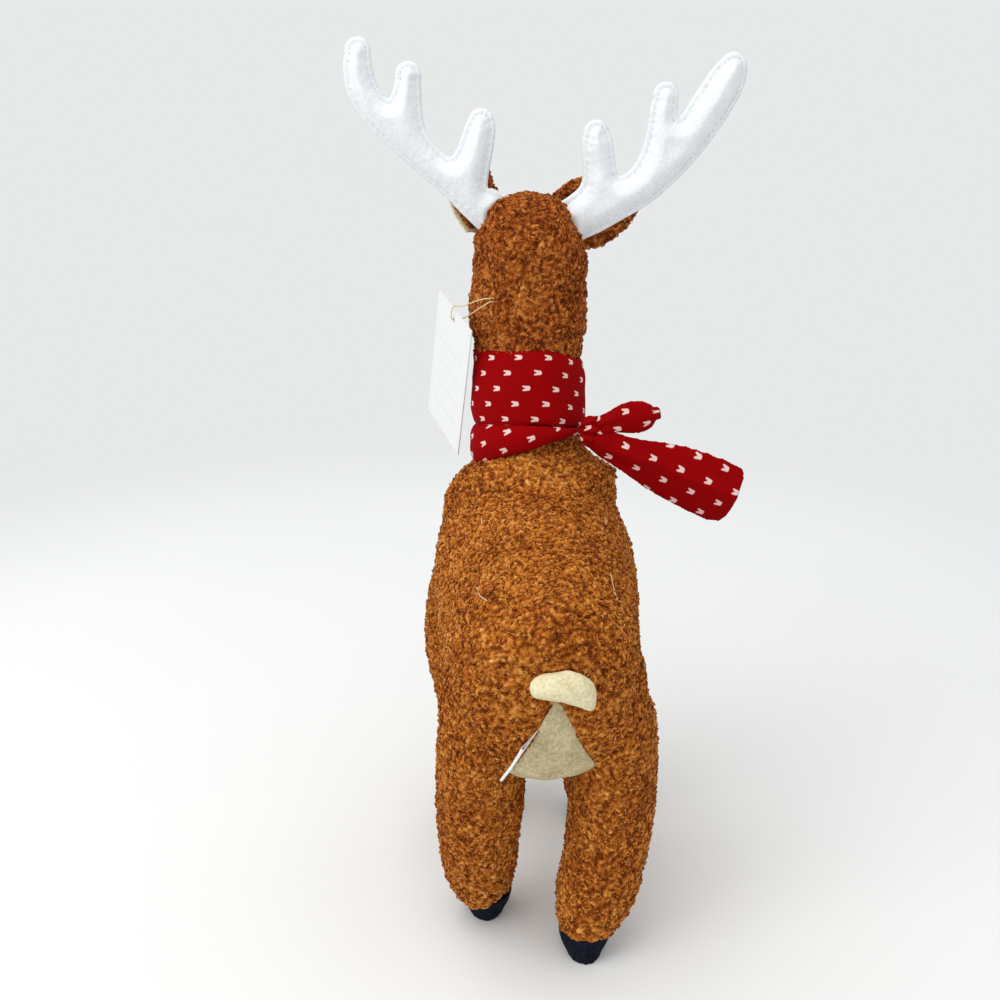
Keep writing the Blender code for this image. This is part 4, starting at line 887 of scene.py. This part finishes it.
# %% Fill, swell and stitch an antler
FELT_GRID = 1.0 * MM
RIM = 2.4 * MM
RIM_HALF = 1.25 * MM
CROWN = 4.4 * MM
SWELL = 7.6 * MM
TIP_RADIUS = 6.1 * MM
PUCKER_GAP = 5.2 * MM
STITCH_GAP = 3.3 * MM
STITCH_HALF = 1.15 * MM
STITCH_ARC = ((-1.0, -0.25), (-0.55, 0.22), (0.0, 0.32), (0.55, 0.22), (1.0, -0.25))
STITCH_WIDTH = ((-0.22, 0.0), (0.0, 0.24), (0.22, 0.0))


def bump_at(gap, middle, width):
    """A soft bump of height 1 at one distance from the edge, in millimetres."""
    return np.exp(-((gap - middle * MM) / (width * MM)) ** 2)


def antler_height(points, loop, direction, seed):
    """Half the antler's thickness at points of its plane, with its stitch groove and puckers."""
    gap, along = edge_of(points, loop)
    root = direction * points[:, 0] + 0.66 * points[:, 1] * ANTLER_REACH / ANTLER_HEIGHT
    root = root - 0.02 * ANTLER_REACH
    reach = np.clip((np.minimum(gap, root + RIM) - RIM) / SWELL, 0.0, 1.0)
    height = RIM_HALF * np.clip(gap / (0.9 * MM), 0.12, 1.0) ** 0.5
    height += CROWN * np.sin(reach * math.pi / 2.0) ** 0.85
    spread = np.stack([points[:, 0], points[:, 1], np.full(len(points), seed * MM)], axis=1)
    uneven = soft_noise(spread, 7.0 * MM, seed)
    broad = soft_noise(spread, 13.0 * MM, seed + 3)
    pucker = np.sin(along / PUCKER_GAP * 2.0 * math.pi + uneven * 9.0) * bump_at(gap, 3.9, 1.9)
    near_root = np.exp(-np.clip(root, 0.0, None) / (13.0 * MM))
    folds = points[:, 0] / (2.3 * MM) + broad * 9.0 - direction * points[:, 1] / (5.0 * MM)
    creases = np.sin(folds) * near_root * reach
    waves = (uneven - 0.5 + (broad - 0.5) * 1.4) * MM * reach
    groove = bump_at(gap, RIM / MM, 0.75)
    return height - groove * 0.32 * MM + pucker * uneven * 0.40 * MM + waves + creases * 0.55 * MM


def rounded_tips(loop, tips):
    """Blunts each tip: points of the outline near it are pushed out to a circle inside the tip."""
    for tip in tips:
        near = loop[np.argmin(np.linalg.norm(loop - tip, axis=1))]
        inner = loop[np.linalg.norm(loop - near, axis=1) < 15.0 * MM].mean(axis=0)
        centre = near + unit(inner - near) * (TIP_RADIUS - 0.3 * MM)
        off = loop - centre
        push = np.linalg.norm(off, axis=1) < TIP_RADIUS
        loop[push] = centre + unit(off[push]) * TIP_RADIUS
    return loop


def felt_antler(name, direction, shares, spot, tips, seed):
    """The antler's mesh, and its outline in its own plane."""
    size = (direction * ANTLER_REACH, ANTLER_HEIGHT)
    loop = curve_through(np.array(shares) * size, 8, closed=True)
    loop = rounded_tips(even_loop(loop, 0.7 * MM), np.array(tips) * size)
    loop = even_loop(loop[::-1] if direction < 0 else loop, FELT_GRID)
    low, high = loop.min(axis=0), loop.max(axis=0)
    columns = np.arange(low[0], high[0], FELT_GRID)
    rows = np.arange(low[1], high[1], FELT_GRID * 0.87)
    grid = [(x + (row % 2) * FELT_GRID / 2.0, y) for row, y in enumerate(rows) for x in columns]
    grid = np.array(grid)
    grid = grid[inside(grid, loop)]
    grid = grid[edge_of(grid, loop)[0] > 0.6 * FELT_GRID]
    ring = [(index, (index + 1) % len(loop)) for index in range(len(loop))]
    corners = [Vector(point) for point in np.vstack([loop, grid])]
    filled = delaunay_2d_cdt(corners, ring, [], 1, 1e-7)
    flat = np.array([tuple(point) for point in filled[0]])
    threes = np.array([face for face in filled[2] if len(face) == 3])
    rim = edge_of(flat, loop)[0] < 0.01 * MM
    front = antler_height(flat, loop, direction, seed)
    back = antler_height(flat, loop, direction, seed + 1)
    front[rim] = 0.0
    numbers = np.arange(len(flat))
    second = np.where(rim, numbers, len(flat) + numbers)
    sheets = [np.stack([flat[:, 0], depth, flat[:, 1]], axis=1) for depth in (-front, back)]
    faces = np.vstack([threes[:, ::-1], second[threes]])
    used, numbers = np.unique(faces, return_inverse=True)
    points = np.vstack(sheets) + spot
    return mesh_of(name, points[used], numbers.reshape(-1, 3)), loop


def stitches_on(name, loop, spot, direction, seed):
    """Short stitches of sewing cotton along the rim, on both faces."""
    closed = even_loop(loop, STITCH_GAP)
    ahead = unit(np.roll(closed, -1, axis=0) - np.roll(closed, 1, axis=0))
    normal = np.stack([-ahead[:, 1], ahead[:, 0]], axis=1)
    if not inside(closed[:1] + normal[:1] * 1.5 * MM, loop)[0]:
        normal = -normal
    centres = closed + normal * RIM
    keep = inside(centres, loop) & (edge_of(centres, loop)[0] > 0.75 * RIM)
    centres, ahead, across = centres[keep], ahead[keep], normal[keep]
    corners = []
    faces = []
    for face in (-1.0, 1.0):
        height = antler_height(centres, loop, direction, seed + (face > 0))
        for centre, forward, beside, lift in zip(centres, ahead, across, height):
            start = len(corners)
            for share, rise in STITCH_ARC:
                for width, level in STITCH_WIDTH:
                    flat = centre + forward * share * STITCH_HALF + beside * width * MM
                    depth = face * (lift + (rise + level) * MM)
                    corners.append((spot[0] + flat[0], spot[1] + depth, spot[2] + flat[1]))
            for row in range(len(STITCH_ARC) - 1):
                for column in range(2):
                    first = start + row * 3 + column
                    faces.append((first, first + 1, first + 4, first + 3))
    return mesh_of(name, corners, faces)


# %% Put the antlers in the scene
stitch_cotton = Finish("white_cotton", Roughness=0.7, Sheen_Weight=0.2)
spun = stitch_cotton.noise(0.6 * MM)
stitch_cotton.feed("Base Color", stitch_cotton.mix(spun, (0.70, 0.74, 0.78), (0.84, 0.86, 0.88)))
for seed, (side, direction, shares, spot, tips) in zip((40, 47), ANTLERS):
    name = side + "_antler"
    layers = [name + "_front_felt", name + "_back_felt", name + "_filling"]
    antler, outline = felt_antler(name + "_felt", direction, shares, spot, tips, seed)
    antler_item = show(name + "_felt", antler, antler_felt, name, layers)
    sewn = stitches_on(name + "_stitches", outline, spot, direction, seed)
    show(name + "_stitches", sewn, stitch_cotton, name)

# %% [markdown]
# ## The scarf
#
# A strip of red jersey goes twice round the neck and is knotted at the deer's right. Small pale marks like
# a knitted stitch are printed on it in staggered rows. The marks have to follow the cloth round the neck
# and along the ends, so each mesh keeps two numbers in metres, along and across the strip, and the finish
# draws every mark from those as distances to two short lines that meet in a point.

# %% The printed jersey
MARK_STEP = 14.2
ROW_STEP = 7.3
ROW_SHIFT = 0.37
MARK_TIP = (0.95, 0.24)
MARK_FOOT = (-1.40, 0.94)
MARK_HALF = 0.82
MARK_SOFT = 0.16
RIB_GAP = 0.95
COURSE_GAP = 0.8
jersey = Finish("printed_jersey", Roughness=0.9, Specular_IOR_Level=0.04)
along_mm = jersey.attribute("along") * 1000.0
across_mm = jersey.attribute("across") * 1000.0
wobble = jersey.noise(2.2 * MM, 2.0)
row = (across_mm / ROW_STEP).floor()
column = along_mm / MARK_STEP - row * ROW_SHIFT
x = (column.fraction() - 0.5) * MARK_STEP + (wobble - 0.5) * 0.7
y = (((across_mm / ROW_STEP).fraction() - 0.5) * ROW_STEP).size()
span = (MARK_FOOT[0] - MARK_TIP[0], MARK_FOOT[1] - MARK_TIP[1])
span_square = span[0] ** 2 + span[1] ** 2
share = (((x - MARK_TIP[0]) * span[0] + (y - MARK_TIP[1]) * span[1]) / span_square).held()
far_x = x - MARK_TIP[0] - share * span[0]
far_y = y - MARK_TIP[1] - share * span[1]
mark_gap = (far_x * far_x + far_y * far_y).root() + share * 0.46 + (wobble - 0.5) * 0.3
mark = 1.0 - mark_gap.step(MARK_HALF - MARK_SOFT, MARK_HALF + MARK_SOFT)
ribs = (along_mm * (2.0 * math.pi / RIB_GAP)).sine() * 0.5 + 0.5
courses = (across_mm * (2.0 * math.pi / COURSE_GAP)).sine() * 0.5 + 0.5
fuzz = jersey.noise(0.5 * MM, 2.0)
red = jersey.mix((ribs * 0.4 + fuzz * 0.6).held(), (0.200, 0.0005, 0.0012), (0.365, 0.0015, 0.0030))
pale = jersey.mix(fuzz, (0.74, 0.46, 0.43), (0.90, 0.70, 0.66))
jersey.feed("Base Color", jersey.mix(mark, red, pale))
jersey.relief(ribs * courses * 0.6 + fuzz * 0.4 + mark * 0.3, 0.16 * MM, 0.7)

# %% [markdown]
# ### The two wraps
#
# The upper wrap is smooth and nearly straight. The lower wrap comes out from under it at a dark fold, swells
# and climbs towards the knot. A grid of points turned round the neck's own line gives that directly: each
# column of the grid is the section of the cloth at one angle.

# %% Turn the band round the neck
BAND_RADIUS = 25.2 * MM
BAND_COLUMNS = 221
UPPER_ROWS = 22
LOWER_ROWS = 18
MARKS_ROUND = 12
MARK_START = -0.437
LOWER_TURN = math.radians(24.0)
KNOT_TURN = math.radians(40.0)
KNOT_ANGLE = math.pi - KNOT_TURN
SEAM_ANGLE = -0.5 * math.pi


def band_section(top, fold, foot):
    """Radius beyond the neck and height of the cloth's outer face, from its top edge to its foot."""
    heights = np.concatenate([np.linspace(top, fold, UPPER_ROWS), np.linspace(fold, foot, LOWER_ROWS)])
    first = np.linspace(0.0, 1.0, UPPER_ROWS)
    second = np.linspace(0.0, 1.0, LOWER_ROWS)
    upper = 1.7 + 0.9 * np.sin(first * math.pi) ** 0.7 + 0.9 * first
    upper[0] -= 0.7
    upper[-3:] -= (0.1, 0.5, 1.5)
    swollen = np.sin(np.clip(second * 1.02, 0.0, 1.0) * math.pi) ** 0.5
    lower = 1.1 + 2.9 * swollen * (1.0 - 0.15 * second)
    return np.concatenate([upper, lower]) * MM, heights


angles = np.linspace(SEAM_ANGLE, SEAM_ANGLE + 2.0 * math.pi, BAND_COLUMNS)
band_points = []
band_along = []
band_across = []
for angle in angles:
    out = 29.0 * MM * math.cos(angle)
    top = 84.3 * MM - 4.4 * MM * max(0.0, -math.cos(angle)) ** 2
    fold = 48.6 * MM + 0.08 * min(0.0, out)
    foot = 37.0 * MM - 0.265 * out
    radius, heights = band_section(top, fold, foot)
    near_knot = math.exp(-((angle - KNOT_ANGLE) / 0.34) ** 2)
    radius = radius - near_knot * MM * np.clip((heights - foot) / (9.0 * MM), 0.0, 1.0)
    direction = NECK_SIDE * math.cos(angle) + NECK_BACK * math.sin(angle)
    outer = NECK_PLACE + direction * (BAND_RADIUS + radius)[:, None] + NECK_UP * heights[:, None]
    inner_heights = heights[::-1][2:-2]
    inner = NECK_PLACE + direction * (BAND_RADIUS + 0.1 * MM) + NECK_UP * inner_heights[:, None]
    band_points.append(np.vstack([outer, inner]))
    turned = (angle - SEAM_ANGLE) / (2.0 * math.pi) * MARKS_ROUND * MARK_STEP * MM
    section = np.concatenate([heights, inner_heights])
    lower = (np.arange(len(section)) >= UPPER_ROWS) & (section < fold + 0.01 * MM)
    below = section - fold
    lower_along = turned * math.cos(LOWER_TURN) + below * math.sin(LOWER_TURN)
    lower_across = below * math.cos(LOWER_TURN) - turned * math.sin(LOWER_TURN)
    band_along.append(np.where(lower, lower_along, turned + MARK_START * MARK_STEP * MM))
    band_across.append(np.where(lower, lower_across, section - top))
band_grid = np.array(band_points)
rows_of_band = band_grid.shape[1]
band_points = band_grid.reshape(-1, 3)
numbers = np.arange(len(band_points)).reshape(-1, rows_of_band)
here, beyond = numbers[:-1], numbers[1:]
faces = np.stack([here, beyond, np.roll(beyond, -1, axis=1), np.roll(here, -1, axis=1)], axis=-1)
band_mesh = mesh_of("scarf_wraps", band_points, faces.reshape(-1, 4))
note(band_mesh, "along", np.array(band_along).ravel())
note(band_mesh, "across", np.array(band_across).ravel())


# %% Soft wrinkles in cloth
def wrinkle(mesh, along, across, sizes, depth, seed, fade=1.0):
    """Long shallow folds: noise that is stretched along the cloth, moved along its normals."""
    spread = np.stack([along / sizes[0], across / sizes[1], np.zeros(len(along))], axis=1)
    folds = soft_noise(spread, 1.0, seed) - 0.5
    points = corners_of(mesh)
    move_corners(mesh, points + normals_of(mesh) * (folds * fade * 2.0 * depth)[:, None])


from_seam = np.minimum(angles - angles[0], angles[-1] - angles)
fade = np.repeat(np.clip(from_seam * 3.0, 0.0, 1.0), rows_of_band)
round_neck = np.repeat(angles * BAND_RADIUS, rows_of_band)
up_neck = (band_points - NECK_PLACE) @ NECK_UP
wrinkle(band_mesh, round_neck, up_neck, (26.0 * MM, 6.5 * MM), 0.55 * MM, 61, fade)
wrinkle(band_mesh, round_neck, up_neck, (9.0 * MM, 4.0 * MM), 0.25 * MM, 62, fade)
band_item = show("scarf_wraps", band_mesh, jersey, "scarf", ["scarf_band"])

# %% [markdown]
# ### The knot and the two ends
#
# The ends of the strip are folded lengthwise, so each shows one broad face over a second one. They start
# from their measured forms. Points are then moved by where they lie along and across the end: a ridge down
# the middle, pleats that fan out from the knot and a slack wave.

# %% Shape the ends and the knot
KNOT_SPOT = np.array((-19.11, -9.37, 224.97)) * MM
END_SWAY = math.radians(7.0)
UNDER_SHIFT = 3.7 * MM
SCARF_ENDS = (
    {
        "name": "scarf_long_end", "node": "scarf_long_tail", "body": "long_tail", "fall": 21.5,
        "lift": -3.6, "length": 74.5, "half": 15.0, "ridge": 5.5, "widen": 0.16, "blunt": 0.08,
        "over": (4.6, 8.5, 3.2), "seed": 71,
    },
    {
        "name": "scarf_short_end", "node": "scarf_short_tail", "body": "short_tail", "fall": -12.0,
        "lift": 2.6, "length": 31.5, "half": 8.9, "ridge": 1.6, "widen": 0.08, "blunt": 0.86,
        "over": (1.2, 6.5, -1.5), "seed": 75,
    },
)


def scarf_end(name, node, body, fall, lift, length, half, ridge, widen, blunt, over, seed):
    """Shapes one end from its measured form. Lengths come in millimetres, and over moves its root."""
    lift, length, half, ridge = lift * MM, length * MM, half * MM, ridge * MM
    mesh = fine_form(name, [node], 0.8 * MM, 5)
    turn = np.array(Euler((0.0, -math.radians(fall), -END_SWAY)).to_matrix())
    outward, through, upward = -turn[:, 0], turn[:, 1], turn[:, 2]
    points = corners_of(mesh)
    off = points - KNOT_SPOT
    u, v, w = off @ outward, off @ upward - lift, off @ through
    share = np.clip(u / length, 0.0, 1.0)
    root = 1.0 - eased(share, 0.0, 0.34)
    corner = np.sqrt(1.0 - blunt * np.clip((share - 0.58) / 0.42, 0.0, 1.0) ** 2.4)
    spread = (1.0 + 0.45 * root + widen * eased(share, 0.15, 0.6)) * corner - 1.0
    peak = np.clip(1.0 - np.abs(v - 0.10 * half) / half, 0.0, 1.0)
    slack = np.sin(share * 2.6 * math.pi + 0.6) * 0.9 * MM
    pleats = np.sin(v / half * 3.0 * math.pi + seed) * 1.2 * MM * np.clip(1.0 - share / 0.50, 0.0, 1.0)
    moved = ridge * peak ** 0.85 * eased(share, 0.05, 0.5) + slack * share + pleats
    points = points + through * moved[:, None] + upward * (v * spread)[:, None]
    by_knot = 1.0 - rising(u, 0.0, 14.0)
    ahead, back, up = np.array(over) * MM
    points = points + (through * ahead - outward * back + upward * up) * by_knot[:, None]
    move_corners(mesh, smoothed(points, edges_of(mesh), 2))
    note(mesh, "along", (points - KNOT_SPOT) @ outward + 3.0 * MM)
    note(mesh, "across", np.where(w > -0.2 * MM, v, v + UNDER_SHIFT))
    wrinkle(mesh, u, v, (18.0 * MM, 6.0 * MM), 0.35 * MM, seed)
    move_corners(mesh, smoothed(corners_of(mesh), edges_of(mesh), 2))
    item = show(name, mesh, jersey, body, [node])
    2.0 * half


for end in SCARF_ENDS:
    scarf_end(**end)

knot_mesh = fine_form("scarf_knot_cloth", ["scarf_knot"], 0.8 * MM, 4)
knot_off = corners_of(knot_mesh) - KNOT_SPOT
knot_out = np.array((-math.cos(KNOT_TURN), math.sin(KNOT_TURN), 0.0))
u, v = knot_off @ knot_out, knot_off[:, 2]
note(knot_mesh, "along", u + 5.0 * MM)
note(knot_mesh, "across", v + 1.2 * MM - 0.35 * u)
pleat = np.sin(np.arctan2(v, u + 11.0 * MM) * 17.0) * 0.75 * MM * rising(u, -8.0, 2.0)
moved = normals_of(knot_mesh) * pleat[:, None]
moved[:, :2] -= knot_off[:, :2] * 0.12
moved[:, 2] -= v * (0.16 + 0.34 * (1.0 - rising(u, -7.0, 2.0)))
move_corners(knot_mesh, corners_of(knot_mesh) + moved)
show("scarf_knot_cloth", knot_mesh, jersey, "scarf", ["scarf_knot"])

# %% [markdown]
# ## Felt pieces
#
# The tail is a small stuffed roll of cream felt, the belly panel is oatmeal felt and the hooves are navy
# felt. They are short soft forms, so a fine remesh with a few sunken puckers is enough.

# %% Tail, belly and hooves
def felt_form(name, node, body, finish, voxel, dents, depth, seed):
    """A felt piece with shallow dents; voxel, dents and depth are in millimetres."""
    mesh = fine_form(name, [node], voxel * MM, 4)
    points = corners_of(mesh)
    bumps = soft_noise(points, dents * MM, seed) - 0.5
    move_corners(mesh, points + normals_of(mesh) * (bumps * 2.0 * depth * MM)[:, None])
    return show(name, mesh, finish, body, [node])


tail_item = felt_form("tail_roll_felt", "tail", "tail_roll", tail_felt, 0.9, 6.5, 1.5, 84)
felt_form("belly_felt", "belly_gusset", "toy", belly_felt, 1.5, 14.0, 0.35, 82)
for leg in LEGS:
    hoof = leg.replace("_leg", "_hoof")
    hoof_item = felt_form(hoof + "_felt", hoof, "toy", hoof_felt, 1.0, 7.0, 0.2, 83)
    points = corners_of(hoof_item.data)
    middle = (points.min(axis=0) + points.max(axis=0)) / 2.0
    low = (1.0 - rising(points[:, 2], 0.0, 11.0)) ** 1.3
    for axis, share, narrow in ((0, 0.93, 0.22), (1, 0.95, 0.02)):
        points[:, axis] = middle[axis] + (points[:, axis] - middle[axis]) * (share - narrow * low)
    move_corners(hoof_item.data, points)

# %% [markdown]
# ## The card and the ribbon
#
# The hang tag is a plain stiff card, so its measured part is right as it is and only needs a finish: a thin
# border and a few pale rules. The care ribbon is a folded strip of thin satin whose ends are in the seam.

# %% The card's finish
TAG_HOLE = Vector((45.2, -41.5, 272.2)) * MM
BORDER_AT = 19.6
RULE_GAP = 11.5
RULES_HALF = 15.9
RULES_TOP = -14.0
RULES_FOOT = -60.0
tag_turn = Euler((0.0, math.radians(16.7), math.radians(111.0)), "XYZ").to_matrix()
card = Finish("plain_card", Roughness=0.55, Specular_IOR_Level=0.35)
tag_x = card.along(tuple(TAG_HOLE), tag_turn.col[0]).size()
tag_z = card.along(tuple(TAG_HOLE), tag_turn.col[2])
border = 1.0 - (tag_x - BORDER_AT).size().step(0.12, 0.3)
rules = 1.0 - (((tag_z / RULE_GAP).fraction() - 0.5).size() * RULE_GAP).step(0.10, 0.26)
within = 1.0 - tag_x.step(RULES_HALF, RULES_HALF + 0.2)
within = within * tag_z.step(RULES_FOOT, RULES_FOOT + 0.4) * (1.0 - tag_z.step(RULES_TOP, RULES_TOP + 0.4))
printed = (rules * within + border * 0.6).held()
speckle = card.noise(1.4 * MM, 4.0)
paper = card.mix(speckle, (0.80, 0.815, 0.82), (0.875, 0.88, 0.88))
card.feed("Base Color", card.mix(printed * 0.55, paper, (0.52, 0.56, 0.57)))
card.relief(speckle, 0.03 * MM, 0.5)
NODES["hang_tag"].data.materials.clear()
NODES["hang_tag"].data.materials.append(card.material)

# %% The ribbon
RIBBON_WIDTH = 21.0 * MM
RIBBON_REACH = 15.0 * MM
RIBBON_FOLD = 0.9 * MM
RIBBON_TURN = math.radians(27.0)
RIBBON_ROWS = 14
RIBBON_COLUMNS = 17
ribbon_top = np.array((12.65, 107.86, 131.0)) * MM
ribbon_foot = np.array((22.34, 101.30, 110.0)) * MM
ribbon_up = unit(ribbon_top - ribbon_foot)
ribbon_out = np.array((math.sin(RIBBON_TURN), math.cos(RIBBON_TURN), 0.0))
ribbon_out = unit(ribbon_out - ribbon_up * (ribbon_out @ ribbon_up))
ribbon_through = np.cross(ribbon_up, ribbon_out)
bend = np.linspace(-math.pi / 2.0, math.pi / 2.0, 9)
outgoing = np.linspace(-0.001, RIBBON_REACH - RIBBON_FOLD, RIBBON_ROWS)
tip = RIBBON_REACH - RIBBON_FOLD + np.cos(bend) * RIBBON_FOLD * 0.6
path_out = np.concatenate([outgoing, tip, outgoing[::-1]])
opening = 0.16 + 0.84 * np.linspace(0.0, 1.0, RIBBON_ROWS) ** 2.5
path_side = np.concatenate([-opening, np.sin(bend), opening[::-1]]) * RIBBON_FOLD * 0.6
columns = np.linspace(0.0, 1.0, RIBBON_COLUMNS)
seam_edge = ribbon_top - ribbon_up * (columns * RIBBON_WIDTH)[:, None]
ribbon_rows = []
for out, aside in zip(path_out, path_side):
    curl = np.sin(columns * math.pi) * 0.5 * MM * (out / RIBBON_REACH) ** 2
    ribbon_rows.append(seam_edge + ribbon_out * out + ribbon_through * (aside + curl)[:, None])
numbers = np.arange(len(ribbon_rows) * RIBBON_COLUMNS).reshape(-1, RIBBON_COLUMNS)
faces = np.stack([numbers[:-1, :-1], numbers[:-1, 1:], numbers[1:, 1:], numbers[1:, :-1]], axis=-1)
ribbon_mesh = mesh_of("care_ribbon", np.vstack(ribbon_rows), faces.reshape(-1, 4))
ribbon_mesh = with_modifier(ribbon_mesh, "SOLIDIFY", thickness=0.25 * MM, offset=0.0)
satin = Finish("satin_ribbon", Roughness=0.45, Sheen_Weight=0.1)
weave = satin.noise(0.7 * MM, 3.0)
satin.feed("Base Color", satin.mix(weave, (0.80, 0.80, 0.79), (0.88, 0.88, 0.87)))
satin.relief(weave, 0.05 * MM, 0.6)
ribbon_item = show("care_ribbon", ribbon_mesh, satin, "label", ["care_label"])

# %% [markdown]
# ## Loose ends of sewing cotton
#
# A few cream ends of thread lie on the back, where the closing seam was tied off. Each lies on the coat
# along a short line, found by looking through the camera's picture at the coat.

# %% Lay the loose ends on the coat
LOOSE_ENDS = (
    ((478, 589), (481, 597), (488, 602)), ((482, 520), (483, 523), (482, 526)),
    ((604, 519), (605, 522), (604, 525)), ((609, 574), (612, 588), (616, 601)),
)
COTTON_RADIUS = 0.24 * MM
coat_tree = tree_of(coat_mesh)
lines = []
for pixels in LOOSE_ENDS:
    spots = []
    for across, down in pixels:
        spot, normal, face, gap = coat_tree.ray_cast(CAMERA_SPOT, sight_line(across, down), 2.0)
        spots.append(spot + normal * 0.9 * MM)
    lines.append(curve_through(spots, 6))
ends_mesh = mesh_of("loose_thread_ends", *tubes(np.array(lines), (0.31, 0.17, 0.93), COTTON_RADIUS, 5))
show("loose_thread_ends", ends_mesh, cotton, "toy")

# %% [markdown]
# ## Floor, light and background
#
# The toy stands in a pale tent of light: a plain floor that keeps its shadow and melts into a pale
# background. The floor thins out with distance, so that it has no edge in any view. The lamps are large and
# soft, at a level at which a colour looks as it was written.

# %% The floor
FLOOR_REACH = 1.6
FLOOR_RINGS = 12
FLOOR_SIDES = 64
FADE_FROM = 0.46
FADE_TO = 0.80
floor_points = [(0.0, 0.0, 0.0)]
for ring in range(1, FLOOR_RINGS + 1):
    radius = FLOOR_REACH * ring / FLOOR_RINGS
    for side in range(FLOOR_SIDES):
        angle = 2.0 * math.pi * side / FLOOR_SIDES
        floor_points.append((radius * math.cos(angle), radius * math.sin(angle), 0.0))
floor_faces = []
for side in range(FLOOR_SIDES):
    after = (side + 1) % FLOOR_SIDES
    floor_faces.append((0, 1 + side, 1 + after))
    for ring in range(FLOOR_RINGS - 1):
        here = 1 + ring * FLOOR_SIDES
        beyond = here + FLOOR_SIDES
        floor_faces.append((here + side, beyond + side, beyond + after, here + after))
floor_mesh = bpy.data.meshes.new("studio_floor")
floor_mesh.from_pydata(floor_points, [], floor_faces)
floor = bpy.data.objects.new("studio_floor", floor_mesh)
bpy.context.scene.collection.objects.link(floor)
floor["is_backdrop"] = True
board = Finish("studio_board", Roughness=0.9, Specular_IOR_Level=0.1)
grain = board.noise(0.25, 2.0)
board.feed("Base Color", board.mix(grain, (0.87, 0.885, 0.88), (0.92, 0.925, 0.915)))
from_middle = board.add("ShaderNodeVectorMath", {"operation": "LENGTH"}, {0: board.place()}, output="Value")
clear = board.add("ShaderNodeBsdfTransparent")
faded = {0: from_middle.step(FADE_FROM, FADE_TO), 1: Value(board, board.shader.outputs[0]), 2: clear}
shown = board.add("ShaderNodeMixShader", {}, faded)
board.links.new(shown.socket, board.nodes["Material Output"].inputs["Surface"])
floor_mesh.materials.append(board.material)

# %% The world and the lamps
world = bpy.data.worlds.new("studio_world")
bpy.context.scene.world = world
world.use_nodes = True
sky = Graph(world.node_tree)
sky.nodes.clear()
rays = sky.nodes.new("ShaderNodeLightPath").outputs
seen, glossy, glass = (Value(sky, rays[f"Is {kind} Ray"]) for kind in ("Camera", "Glossy", "Transmission"))
direct = seen.math("MAXIMUM", glossy).math("MAXIMUM", glass)
fill = sky.add("ShaderNodeBackground", {}, {"Color": (0.975, 0.99, 1.0, 1.0), "Strength": 0.74})
backdrop = sky.add("ShaderNodeBackground", {}, {"Color": (0.80, 0.815, 0.815, 1.0), "Strength": 1.0})
chosen_light = sky.add("ShaderNodeMixShader", {}, {0: direct, 1: fill, 2: backdrop})
sky.links.new(chosen_light.socket, sky.nodes.new("ShaderNodeOutputWorld").inputs["Surface"])


LAMPS_AIM = Vector((0.0, 0.0, 0.2))


def soft_lamp(name, spot, size, power, colour):
    data = bpy.data.lights.new(name, "AREA")
    data.shape = "DISK"
    data.size = size
    data.energy = power
    data.color = colour
    lamp = bpy.data.objects.new(name, data)
    lamp.location = spot
    lamp.rotation_euler = (LAMPS_AIM - Vector(spot)).to_track_quat("-Z", "Y").to_euler()
    bpy.context.scene.collection.objects.link(lamp)


soft_lamp("top_lamp", (0.35, 0.25, 1.35), 1.3, 7.8, (1.0, 0.99, 0.97))
soft_lamp("side_lamp", (1.15, 0.75, 0.75), 1.0, 4.0, (1.0, 0.99, 0.975))
bpy.context.scene.view_settings.view_transform = "Standard"

# %% [markdown]
# ## Sizes and the last check
#
# Dressing a part mustn't change its size, so the box before and the box after are written down side by side.

# %% Write the sizes and finish
bpy.context.view_layer.update()
DRESSED_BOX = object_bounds()
boxes = {"cad": [list(corner) for corner in PARTS_BOX], "visual": [list(corner) for corner in DRESSED_BOX]}
for name, box in boxes.items():
    print(name, [[round(value / MM, 1) for value in corner] for corner in box])
